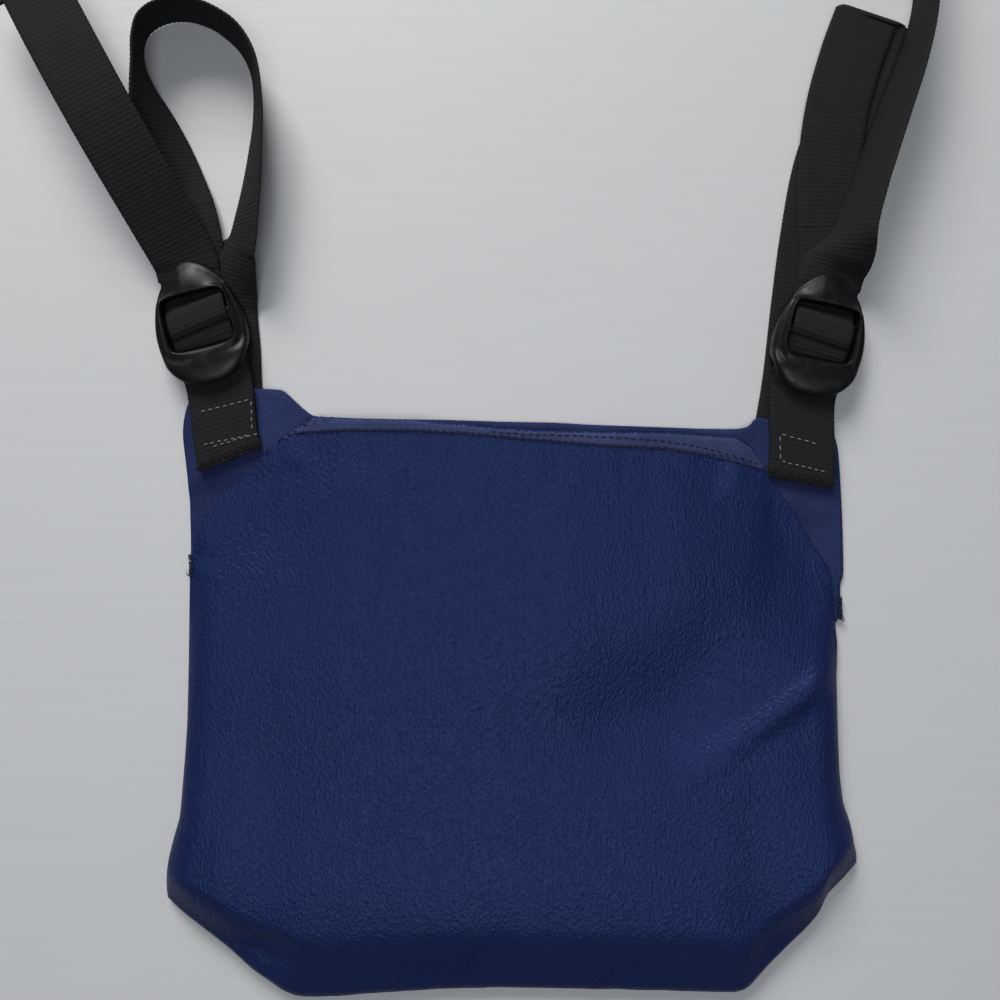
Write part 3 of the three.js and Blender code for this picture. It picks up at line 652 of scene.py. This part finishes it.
# The hem's thread has pulled loose along the left slope of the front panel's edge.
slope = Line([(-104.5, 96.0), (-94, 106.0), (-88, 110.2), (-80.6, 115.4), (-72, 115.2)])
draw = random.Random(12)
work = bmesh.new()
for i in range(46):
    share = draw.random() ** 0.8
    start = slope.at(1 - share) + Vector((draw.uniform(-0.6, 0.6), draw.uniform(-0.6, 0.6))) * mm
    end = start + Vector((draw.uniform(-1.6, 2.2), draw.uniform(-1.4, 1.8))) * mm
    ends = [Vector((p.x, p.y, top_of_hem(p.x, p.y) + draw.uniform(0.15, 0.5) * mm))
            for p in (start, end)]
    thread_run(work, ends[0], ends[1], draw.uniform(0.3, 0.5) * mm, 0.2)
loose_ends = make("loose_hem_thread", work)
paint(loose_ends, navy_thread)
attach(loose_ends, "pouch")

# The seams inside the pouch keep their plain thread.
inner_seams = ["left_side_seam", "right_side_seam", "left_corner_seam", "bottom_seam",
               "right_corner_seam"]
for node in inner_seams:
    paint(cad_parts[node], navy_thread)


# ------------------------------------------------------------------ bar tacks
# Where each side seam stops at its slit, a short dense tack of thread wraps over the edges of
# both panels. It has frayed, and ends of thread stand out of it.
def loose_thread(work, points, thickness):
    """A fine thread through points, as a chain of short rounded lengths."""
    for a, b in zip(points, points[1:]):
        thread_run(work, Vector(a), Vector(b), thickness, bow=0.0)


for node, outward in (("left_bar_tack", -1), ("right_bar_tack", 1)):
    low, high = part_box(node)
    draw = random.Random(len(node))
    work = bmesh.new()
    middle_x = (low.x + high.x) / 2 - outward * 1.1 * mm
    rows = 17
    for i in range(rows):
        y = low.y + (high.y - low.y) * (i + 0.5) / rows
        inner = middle_x - outward * draw.uniform(1.4, 2.6) * mm
        outer = middle_x - outward * draw.uniform(0.0, 0.3) * mm
        top = pouch_top(inner, y, high.z * 0.6)
        edge = Vector((outer, y + draw.uniform(-0.3, 0.3) * mm, high.z * 0.55))
        thread_run(work, Vector((inner, y, top + 0.2 * mm)), edge, 0.6 * mm, 0.3)
        low_end = Vector((outer, y, low.z + 0.4 * mm))
        thread_run(work, edge, low_end, 0.6 * mm, 0.0)
    for i in range(3):
        y = low.y + (high.y - low.y) * draw.random()
        z = draw.uniform(0.8, 3.0) * mm
        points = [(middle_x, y, z)]
        for _ in range(4):
            x, y, z = points[-1]
            down = max(z + draw.uniform(-0.5, 0.4) * mm, 0.3 * mm)
            points.append((x + outward * draw.uniform(-0.3, 0.5) * mm,
                           y + draw.uniform(-1.3, 1.3) * mm, down))
        loose_thread(work, points, 0.28 * mm)
    tack = make(f"{node}_threads", work)
    paint(tack, navy_thread)
    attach(tack, "pouch")
    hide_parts(node)


# ------------------------------------------------------------------ straps
# Each strap is one length of black ribbed webbing, 25 mm wide, sewn flat behind its tab. It
# runs up, turns back in a loop and comes down over itself into the buckle.
rib_pitch = 1.72 * mm

black_webbing = Finish("black_webbing", roughness=0.85, gloss=0.2)
run_across = black_webbing.parts(black_webbing.place((1, 1, 1), "UV"))
yarn = (run_across[1] * (2 * math.pi / (0.82 * mm))).wave()
half_step = (run_across[0] * (math.pi / rib_pitch)).wave()
weave_cells = yarn * half_step
hairs = black_webbing.cloud(black_webbing.place((2500, 2500, 2500)), 1.0, 3.0)
worn = black_webbing.cloud(black_webbing.place((30, 30, 30)), 1.0, 3.0)
base = black_webbing.blend(weave_cells.between(-0.9, 0.9), (0.0058, 0.0060, 0.0070, 1),
                           (0.0105, 0.0107, 0.0122, 1))
black_webbing.colour(black_webbing.blend(hairs.between(0.55, 0.8) * worn, base,
                                         (0.034, 0.034, 0.036, 1)))
black_webbing.relief(weave_cells * 0.35 + hairs * 0.6, 0.00022, 0.8)


def curve_at(points, t):
    """A point on the smooth curve through points, t from 0 to 1."""
    span = t * (len(points) - 1)
    i = min(int(span), len(points) - 2)
    w = span - i
    b, c = points[i], points[i + 1]
    a = points[i - 1] if i > 0 else b * 2 - c
    d = points[i + 2] if i + 2 < len(points) else c * 2 - b
    return 0.5 * ((2 * b) + (c - a) * w + (2 * a - 5 * b + 4 * c - d) * w * w
                  + (3 * b - a - 3 * c + d) * w ** 3)


def rolled(side, stations):
    """Samples (middle, across) of a strap over the table. A station is x as a share of the
    webbing's width, y in millimetres, rest height as a share of the width, and roll in
    degrees, all from the fixed bar: 0 lies flat and 90 stands on its left edge."""
    plan, poses = [], []
    for x, y, rest, angle in stations:
        plan.append(Vector((side.bar.x + x * webbing, side.bar.y + y * mm, 0)))
        poses.append(Vector((rest * webbing, angle, 0)))
    steps = 24 * (len(stations) - 1)
    samples = []
    for k in range(steps + 1):
        t = k / steps
        here = curve_at(plan, t)
        step = curve_at(plan, min(t + 1e-3, 1)) - curve_at(plan, max(t - 1e-3, 0))
        level = Vector((step.y, -step.x, 0)).normalized()
        pose = curve_at(poses, t)
        angle = math.radians(max(pose.y, 0))
        across = level * math.cos(angle) + Vector((0, 0, math.sin(angle)))
        here.z = pose.x + ply / 2 * abs(math.cos(angle)) + webbing / 2 * math.sin(angle)
        samples.append((here, across))
    return samples


def upright(side, profile, skew=0.0):
    """Samples (middle, across) of a band along a buckle's middle line, from pairs of distance
    along it and height in millimetres. Skew slants the band where it stands highest."""
    points = [side.at(a * mm, 0, z * mm) for a, z in profile]
    steps = 16 * (len(points) - 1)
    samples = []
    for k in range(steps + 1):
        middle = curve_at(points, k / steps)
        slanted = skew * ease(middle.z, 5 * mm, 8 * mm)
        samples.append((middle, side.across + side.along * slanted))
    return samples


def band(name, samples, width=webbing, thickness=ply, ribs=True, start=0.0, skirt=14):
    """A length of webbing swept through samples. Its ribs are real: the section swells and
    shrinks once a rib, and its woven edges are rounder and a little thinner."""
    marks = [0.0]
    for (a, _), (b, _) in zip(samples, samples[1:]):
        marks.append(marks[-1] + (b - a).length)
    length = marks[-1]
    rings = max(8, int(length / rib_pitch * 4))
    work = bmesh.new()
    around = 2 * skirt + 4
    bmesh.ops.create_grid(work, x_segments=rings, y_segments=around, size=0.5)
    run = work.loops.layers.uv.new("run")
    spots = {}
    index = 0
    order = sorted(work.verts, key=lambda vertex: vertex.co.x)
    for vertex in order:
        share = vertex.co.x + 0.5
        distance = share * length
        while index < len(marks) - 2 and marks[index + 1] < distance:
            index += 1
        part = (distance - marks[index]) / max(marks[index + 1] - marks[index], 1e-9)
        middle = samples[index][0].lerp(samples[index + 1][0], part)
        across = samples[index][1].lerp(samples[index + 1][1], part).normalized()
        ahead = samples[index + 1][0] - samples[index][0]
        out = across.cross(ahead).normalized()
        place = (vertex.co.y + 0.5) * around
        if place <= skirt:
            s, face = place / skirt * 2 - 1, 1
        elif place <= skirt + 2:
            s, face = 1, 1 - (place - skirt)
        elif place <= 2 * skirt + 2:
            s, face = 1 - (place - skirt - 2) / skirt * 2, -1
        else:
            s, face = -1, -1 + (place - 2 * skirt - 2)
        edge = 1 - 0.3 * ease(abs(s), 0.9, 1.0)
        rib = 0.5 + 0.5 * math.cos(2 * math.pi * (distance + start) / rib_pitch)
        swollen = (0.86 + 0.26 * rib) * edge if ribs else edge
        fray = 0.12 * mm * (rib - 0.5)
        bulge = (1 - abs(face)) * 0.25 * mm
        on_edge = abs(s) > 0.99
        reach = s * (width / 2 - 0.15 * mm) + (fray + bulge) * (1 if s > 0 else -1) * on_edge
        vertex.co = middle + across * reach + out * face * thickness / 2 * swollen
        spots[vertex] = (distance + start, s * width / 2)
    for face in work.faces:
        for loop in face.loops:
            loop[run].uv = spots[loop.vert]
    bmesh.ops.remove_doubles(work, verts=work.verts, dist=1e-6)
    bmesh.ops.holes_fill(work, edges=[e for e in work.edges if e.is_boundary], sides=0)
    bmesh.ops.recalc_face_normals(work, faces=work.faces[:])
    piece = make(name, work)
    paint(piece, black_webbing)
    return piece


def on_axis(side, along, rest):
    """A station on the middle line of a buckle."""
    return (side.along.x * along * mm / webbing, side.along.y * along, rest / 25, 0)


def behind_tab(side):
    """The strap's sewn end, then its place at the fold line."""
    stations = []
    for along in (-side.fold - patch_length + 0.5 * mm, -side.fold - 8 * mm, -side.fold):
        point = side.at(along, side.root_shift) - side.bar
        stations.append((point.x / webbing, point.y / mm, 0, 0))
    return stations


left_strap = behind_tab(left) + [
    (0.236, 6, 0, 0), (0.19, 20, 0, 0), (0.22, 28, 0, 6), (0.29, 35, 0, 18), (0.42, 43, 0, 37),
    (0.54, 49, 0, 51), (0.625, 60, 0, 57), (0.69, 70, 0, 61), (0.75, 83, 0, 66),
    (0.796, 98, 0, 71), (0.744, 114, 0, 76), (0.528, 125.2, 0, 81), (0.156, 132.8, 0, 87),
    (-0.164, 136, 0, 92), (-0.476, 136.8, 0, 96), (-0.78, 135, 0, 99), (-1, 130.2, 0, 101),
    (-1.064, 122, 0, 99), (-0.992, 112, 0, 90), (-0.856, 99, 0, 68), (-0.728, 85, 0.016, 43),
    (-0.584, 71, 0.064, 21), (-0.432, 60, 0.136, 8), (-0.344, 50, 0.136, 1),
    (-0.32, 42, 0.08, 0), on_axis(left, 30, 1.7), on_axis(left, 21, 1.7), on_axis(left, 10, 1.7),
]
right_run = behind_tab(right) + [
    (-0.2, 0, 0, 0), (-0.076, 27.2, 0, 0), (0.064, 54, 0, 0), (0.276, 82.6, 0, 0),
    (0.62, 106, 0, 0), (0.92, 126.6, 0, 0), (1.14, 143, 0, 0),
]
right_feed = [
    (0.92, 143.3, 0.068, 0), (0.68, 126.9, 0.068, 0), (0.456, 106, 0.068, 0),
    (0.336, 82.6, 0.068, 0), (0.336, 62, 0.068, 0), (0.352, 46, 0.068, 0),
    on_axis(right, 30, 1.7), on_axis(right, 21, 1.7), on_axis(right, 10, 1.7),
]


def split(samples, where):
    """Two lists of samples, cut at the first one for which where(point) is true."""
    for i, (point, _) in enumerate(samples):
        if where(point):
            return samples[:i + 1], samples[i:]
    return samples, []


def length_of(samples):
    return sum(((b - a).length for (a, _), (b, _) in zip(samples, samples[1:])), 0.0)


loop_reach = 60.5 * mm
crossing = left.bar.y + loop_reach
route = rolled(left, left_strap)
lower, beyond = split(route, lambda p: p.y > crossing)
top_loop, feed = split(beyond, lambda p: p.y < crossing)
run_end = length_of(lower)
loop_end = run_end + length_of(top_loop)
left_lower = band("left_strap_lower", lower)
left_loop = band("left_strap_top", top_loop, start=run_end)
left_feed = band("left_strap_into_buckle", feed, start=loop_end)
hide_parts("left_strap_root", "left_strap_run")
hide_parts("left_strap_loop")
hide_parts("left_strap_feed")
left.at(-left.fold - 4 * mm)
left.at(-left.fold + 8 * mm)
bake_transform(left_lower)
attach(left_loop, "left_hanger")
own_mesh(left_loop)
left.at(20 * mm)
left.at(9 * mm)
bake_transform(left_feed)

run = rolled(right, right_run)
feed = rolled(right, right_feed)
turn_start, turn_end = run[-1], feed[0]
ahead = (run[-1][0] - run[-4][0]).normalized()
turn = []
for k in range(13):
    angle = math.pi * (k / 12 - 0.5)
    middle = turn_start[0].lerp(turn_end[0], k / 12)
    half = (turn_end[0].z - turn_start[0].z) / 2
    middle.z = turn_start[0].z + half + half * math.sin(angle)
    middle += ahead * (gap + 1.1 * mm * math.cos(angle))
    turn.append((middle, turn_start[1].copy()))
cut = right.bar.y + loop_reach
lower, upper = split(run, lambda p: p.y > cut)
upper_feed, lower_feed = split(feed, lambda p: p.y < cut)
run_end = length_of(lower)
right_lower = band("right_strap_lower", lower)
right_top = band("right_strap_top", upper + turn[1:-1] + upper_feed, start=run_end)
after = run_end + length_of(upper + turn[1:-1] + upper_feed)
right_into = band("right_strap_into_buckle", lower_feed, start=after)
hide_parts("right_strap_root", "right_strap_run")
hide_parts("right_strap_run", "right_strap_loop", "right_strap_feed")
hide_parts("right_strap_feed")
right.at(-right.fold - 4 * mm)
right.at(-right.fold + 8 * mm)
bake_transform(right_lower)
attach(right_top, "right_hanger")
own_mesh(right_top)
right.at(20 * mm)
right.at(9 * mm)
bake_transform(right_into)


# ------------------------------------------------------------------ anchors
# A short length of the same webbing holds each buckle: folded round its fixed bar, both ends
# sewn flat on the front of the tab.
bar_radius = 1.5
ply_mm, gap_mm = ply / mm, gap / mm
tab_top = (layer + vinyl) / mm
bar_height = 6.4
# How far the middle line stands across from the buckle's: by the bar, then at the sewn end
drift_by_side = {"left": (1.4, -1.8), "right": (-1.6, 4.6)}
sewn_length = {"left": 25.5, "right": 21.0}
cut_slope = {"left": 0.13, "right": 0.03}


def anchor(side):
    near, far = drift_by_side[side.name]
    fold = side.fold / mm
    wrap = bar_radius + gap_mm + ply_mm / 2
    low = tab_top + gap_mm + ply_mm / 2
    high = low + ply_mm + gap_mm
    rear = -fold - sewn_length[side.name]

    def bent(profile):
        samples = upright(side, profile)
        for middle, across in samples:
            along = (middle - side.bar).dot(side.along) / mm
            middle += side.across * mm * (near + (far - near) * ease(-along, 4, -rear))
            across += side.along * cut_slope[side.name] * ease(-along, fold, -rear)
        return samples

    around = [(wrap * math.cos(math.radians(a)), bar_height + wrap * math.sin(math.radians(a)))
              for a in (-60, -20, 20, 60)]
    profile = [(rear, low), (-fold - 12, low), (-fold, low),
               ((-fold - wrap) / 2, low - (wrap + low - bar_height) / 3),
               (-wrap * 0.6, bar_height - wrap * 0.98), *around,
               (-wrap * 0.5, bar_height + wrap * 0.94), (-wrap - 1.6, bar_height + wrap * 0.3),
               (max(-fold + 1.5, -7.4), high + 0.1), (-fold, high), (-fold - 12, high),
               (rear - 1.2, high - 0.2)]
    piece = band(f"{side.name}_anchor", bent(profile), width=webbing + 1 * mm)
    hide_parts(f"{side.name}_anchor_patch", f"{side.name}_anchor_loop")
    side.at(-side.fold - 2 * mm)
    side.at(-side.fold + 6 * mm)
    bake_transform(piece)
    # The cut end is fuzzy: short filaments stand out of it.
    draw = random.Random(side.name)
    work = bmesh.new()
    for _ in range(300):
        t = draw.uniform(-0.53, 0.53) * webbing + far * mm
        inset = draw.uniform(-0.6, 2.6) * mm
        top = (high + 0.8) * mm if inset > 0.3 * mm else draw.uniform(low, high) * mm
        root = side.at(rear * mm + inset + cut_slope[side.name] * (t - far * mm), t, top)
        lean = -side.along * draw.uniform(0.3, 1.8) * mm + side.across * draw.uniform(-1, 1) * mm
        lean.z = draw.uniform(-0.3, 0.5) * mm
        thread_run(work, root + side.along * 0.5 * mm, root + lean, draw.uniform(0.22, 0.42) * mm)
    fuzz = make(f"{side.name}_anchor_fray", work)
    paint(fuzz, black_webbing)
    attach(fuzz, "pouch")
    return piece


anchors = {side.name: anchor(side) for side in (left, right)}


# ------------------------------------------------------------------ box stitching
# Pale grey thread sews both plies of the anchor and the strap behind the tab through all
# layers, along three sides of a box. The left one has a second row at its lower end.
pale_thread = Finish("pale_thread", roughness=0.75, gloss=0.2)
strands = pale_thread.cloud(pale_thread.place((3500, 3500, 3500)), 1.0, 2.0)
pale_thread.colour(pale_thread.blend(strands, (0.10, 0.10, 0.10, 1), (0.30, 0.30, 0.295, 1)))
pale_thread.relief(strands, 0.0002, 0.5)
box_rows = {
    "left": [[(-17.1, -8.8), (-17.2, 11.8)], [(-17.5, 12.2), (-29.4, 9.5)],
             [(-30.0, -10.8), (-30.7, 8.1)], [(-31.7, -7.2), (-30.8, 11.7)]],
    "right": [[(-25.0, -7.2), (-35.0, -4.8)], [(-24.6, -6.9), (-25.4, 8.2)],
              [(-35.0, -4.7), (-35.5, 13.6)]],
}
for side in (left, right):
    surface = caster(anchors[side.name])
    work = bmesh.new()
    for seed, row in enumerate(box_rows[side.name]):
        ends = [side.at(a * mm, b * mm) / mm for a, b in row]
        path = Line([(p.x, p.y) for p in ends])
        stitches(work, path, 2.6 * mm, 0.42 * mm, surface, seed, 0.62)
    box = make(f"{side.name}_box_stitches", work)
    paint(box, pale_thread)
    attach(box, "pouch")
    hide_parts(f"{side.name}_box_stitch")


# ------------------------------------------------------------------ buckles
# A ladder-lock buckle is one moulding of glossy black acetal: an oval frame, a fixed bar under
# a rounded cover, a ladder bar that bites on the strap, and a thumb lip to let it slip.
black_plastic = Finish("black_plastic", roughness=0.36, gloss=0.17)
scuffs = black_plastic.cloud(black_plastic.place((260, 260, 260)), 1.0, 4.0)
skin = black_plastic.cloud(black_plastic.place((2500, 2500, 2500)), 1.0, 2.0)
black_plastic.colour(black_plastic.blend(scuffs, (0.0030, 0.0031, 0.0042, 1),
                                         (0.0058, 0.0060, 0.0075, 1)))
black_plastic.rough(0.33 + 0.16 * scuffs.between(0.4, 0.75))
black_plastic.relief(skin, 0.00003, 0.5)
tip, tail_end, widest = 41.7, -7.9, 13.0
half_width = 18.0
window_middle, window_half = 17.5, (11.0, 12.9)
ladder_start, ladder_end, ladder_top = 15.3, 21.1, 7.6
ladder_half_height = 1.2
outer_rings = 14
# Rings of the moulding's skin, from its foot over the top to the window's edge and back
# underneath: share of the way in, then height at the rails, at the cover and at the thumb lip
skin_line = [
    (0.04, 2.2, 9.4, 5.9), (0.0, 4.4, 9.9, 6.7), (0.015, 6.6, 10.4, 7.5), (0.06, 8.0, 10.9, 8.3),
    (0.14, 8.9, 11.4, 8.9), (0.26, 9.3, 11.8, 9.4), (0.40, 9.3, 12.0, 9.8), (0.54, 9.6, 12.1, 10.2),
    (0.66, 10.4, 12.1, 10.5), (0.76, 11.2, 12.1, 10.7), (0.86, 11.6, 12.0, 10.7),
    (0.93, 11.4, 11.9, 10.5), (0.98, 10.8, 11.6, 10.1), (1.0, 9.9, 11.1, 9.5),
    (1.0, 6.5, 10.6, 7.6), (0.98, 3.4, 10.3, 6.0), (0.9, 2.4, 10.2, 5.6), (0.5, 2.0, 10.1, 5.5),
    (0.16, 1.9, 9.6, 5.5),
]


def signed_power(value, power):
    return math.copysign(abs(value) ** power, value)


def egg(turn):
    """A point of the buckle's outline, along and across: narrower at the thumb lip."""
    forward = math.cos(turn) > 0
    reach = tip - widest if forward else widest - tail_end
    squareness = (1.143, 1.1) if forward else (0.87, 0.87)
    along = widest + reach * signed_power(math.cos(turn), squareness[0])
    return along, half_width * signed_power(math.sin(turn), squareness[1])


def window(along, across):
    """The window's edge in the direction of a point of the outline."""
    turn = math.atan2(across, along - window_middle)
    share = abs(math.cos(turn) / window_half[0]) ** 7 + abs(math.sin(turn) / window_half[1]) ** 7
    reach = share ** (-1 / 7)
    return window_middle + reach * math.cos(turn), reach * math.sin(turn)


def bar(work, side, along, height, along_half, height_half, across_half):
    """A rounded bar across the frame."""
    made = bmesh.ops.create_uvsphere(work, u_segments=20, v_segments=14, radius=1)["verts"]
    for vertex in made:
        a, b, c = vertex.co
        round_a, round_b = signed_power(a, 0.7), signed_power(b, 0.7)
        vertex.co = side.at((along + round_a * along_half) * mm,
                            signed_power(c, 0.25) * across_half * mm,
                            (height + round_b * height_half) * mm)


def buckle(side):
    """The frame is a ring: its skin is drawn in from the outline to the window, ring by ring,
    and closed underneath."""
    work = bmesh.new()
    around = 120
    rings = []
    for share, rail, cover, lip in skin_line:
        made = bmesh.ops.create_circle(work, segments=around, radius=1)["verts"]
        for vertex in made:
            turn = math.atan2(vertex.co.y, vertex.co.x)
            outer = egg(turn)
            inner = window(*outer)
            along = outer[0] + (inner[0] - outer[0]) * share
            across = outer[1] + (inner[1] - outer[1]) * share
            at_cover = 1 - ease(along, 0.5, 8)
            at_lip = ease(along, 26.5, 31)
            under = len(rings) >= outer_rings
            if under:
                inside = 1 - ease(abs(across), 12.4, 13.6)
                at_cover *= inside
                at_lip *= inside
            height = rail * (1 - at_cover - at_lip) + cover * at_cover + lip * at_lip
            if not under:
                hip = max(abs(across) - 3.0, 0) * 0.13 + max(along - 36, 0) * 0.16
                height -= at_lip * hip * (0.25 + 0.75 * (share > 0.1))
            vertex.co = side.at(along * mm, across * mm, height * mm)
        edges = {edge for vertex in made for edge in vertex.link_edges}
        rings.append(list(edges))
    for a, b in zip(rings, rings[1:] + rings[:1]):
        bmesh.ops.bridge_loops(work, edges=a + b)
    bar(work, side, 0, bar_height, bar_radius, bar_radius, 15.5)
    bar(work, side, (ladder_start + ladder_end) / 2, ladder_top - ladder_half_height,
        (ladder_end - ladder_start) / 2, ladder_half_height, 14.5)
    bmesh.ops.recalc_face_normals(work, faces=work.faces[:])
    piece = make(f"{side.name}_buckle_frame", work)
    paint(piece, black_plastic)
    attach(piece, f"{side.name}_buckle_set")
    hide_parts(f"{side.name}_buckle")


for side in (left, right):
    buckle(side)


# ------------------------------------------------------------------ strap through the buckle
# Inside the buckle the strap rises through the window, bites round the ladder bar and leaves
# under the thumb lip.
window_start, window_end = 6.5, 28.5
feed_height, tail_height, tail_start = 1.7, 3.7, 36.5
for side in (left, right):
    half = ply_mm / 2
    profile = [
        (window_start + 2.4, feed_height + half), (window_start + 1.2, feed_height + half + 0.6),
        (window_start + 0.9, feed_height + half + 2.6), (window_start + 2.2, 6.3),
        (window_start + 4.5, 7.1), (ladder_start - 1.6, 7.6), (ladder_start - 0.6, 8.7),
        (ladder_start + 1.2, ladder_top + half + 1.3), (ladder_end - 0.6, ladder_top + half + 1.4),
        (ladder_end + 2.2, ladder_top + half + 0.8), (ladder_end + 3.8, ladder_top - 1),
        (window_end - 1, tail_height + half + 0.6), (window_end + 2, tail_height + half),
        (tail_start - 0.1, tail_height + half),
    ]
    skew = 0.16 if side is left else -0.12
    piece = band(f"{side.name}_strap_in_buckle", upright(side, profile, skew), webbing - 1.2 * mm)
    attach(piece, f"{side.name}_buckle_set")
    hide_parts(f"{side.name}_strap_wrap")


# ------------------------------------------------------------------ tails
# Beyond the buckle each strap ends in a free tail. Its last 22 mm are turned under and sewn,
# so it can't slip back through.
left_tail = [
    on_axis(left, tail_start, 0), on_axis(left, 43.7, 2.2), (-0.664, 54.5, 0.304, 0),
    (-0.972, 69.7, 0.584, 0), (-1.288, 85, 0.816, 0), (-1.584, 99.2, 0.944, 0),
    (-1.892, 113.6, 0.976, 0), (-2.212, 128.4, 0.936, 0), (-2.536, 143.6, 0.84, 0),
    (-2.864, 159, 0.704, 0),
]
right_tail = [
    on_axis(right, tail_start, 0), (0.36, 42.4, 0, 8), (0.448, 48.2, 0, 36), (0.552, 56, 0, 62),
    (0.735, 70, 0, 70), (0.955, 86, 0, 73), (1.17, 101.5, 0, 75), (1.375, 116, 0, 78),
    (1.57, 133, 0, 84), (1.664, 150, 0, 90), (1.656, 170, 0, 88), (1.56, 188, 0, 84),
]
hem_length = 22 * mm
hem_aside = {"left": 3.5 * mm, "right": 0.5 * mm}
hem_stitch_count = 8
for side, stations in ((left, left_tail), (right, right_tail)):
    raised = [(x, y, rest + tail_height * mm / webbing, roll) for x, y, rest, roll in stations]
    samples = rolled(side, raised)
    piece = band(f"{side.name}_tail_strap", samples)
    length = length_of(samples)
    end, near = samples[-1][0], samples[0][0]
    hem_samples = []
    travelled = 0.0
    for (a, across), (b, _) in zip(samples[::-1], samples[-2::-1]):
        ahead = (a - b).normalized()
        out = across.cross(ahead).normalized()
        hem_samples.append((a - out * layer - across * hem_aside[side.name], across))
        travelled += (b - a).length
        if travelled > hem_length:
            break
    turned = band(f"{side.name}_tail_hem_ply", hem_samples[::-1], width=webbing - 1 * mm)
    ahead = (samples[-1][0] - samples[-8][0]).normalized()
    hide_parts(f"{side.name}_tail")
    end - ahead * 26 * mm
    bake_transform(piece)
    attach(turned, f"{side.name}_tail_set")
    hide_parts(f"{side.name}_tail_hem")
    work = bmesh.new()
    place, across = samples[-1]
    out = across.cross(ahead).normalized()
    start = place - ahead * (hem_length * 0.82)
    on_top = out * (ply / 2 + 0.1 * mm)
    for i in range(hem_stitch_count):
        ends = [start + across * (webbing - 4 * mm) * ((i + t) / hem_stitch_count - 0.5) + on_top
                for t in (0.14, 0.86)]
        thread_run(work, ends[0], ends[1], 0.55 * mm, 0.2)
    row = make(f"{side.name}_tail_stitches", work)
    paint(row, navy_thread)
    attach(row, f"{side.name}_tail_set")
    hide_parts(f"{side.name}_tail_stitch")
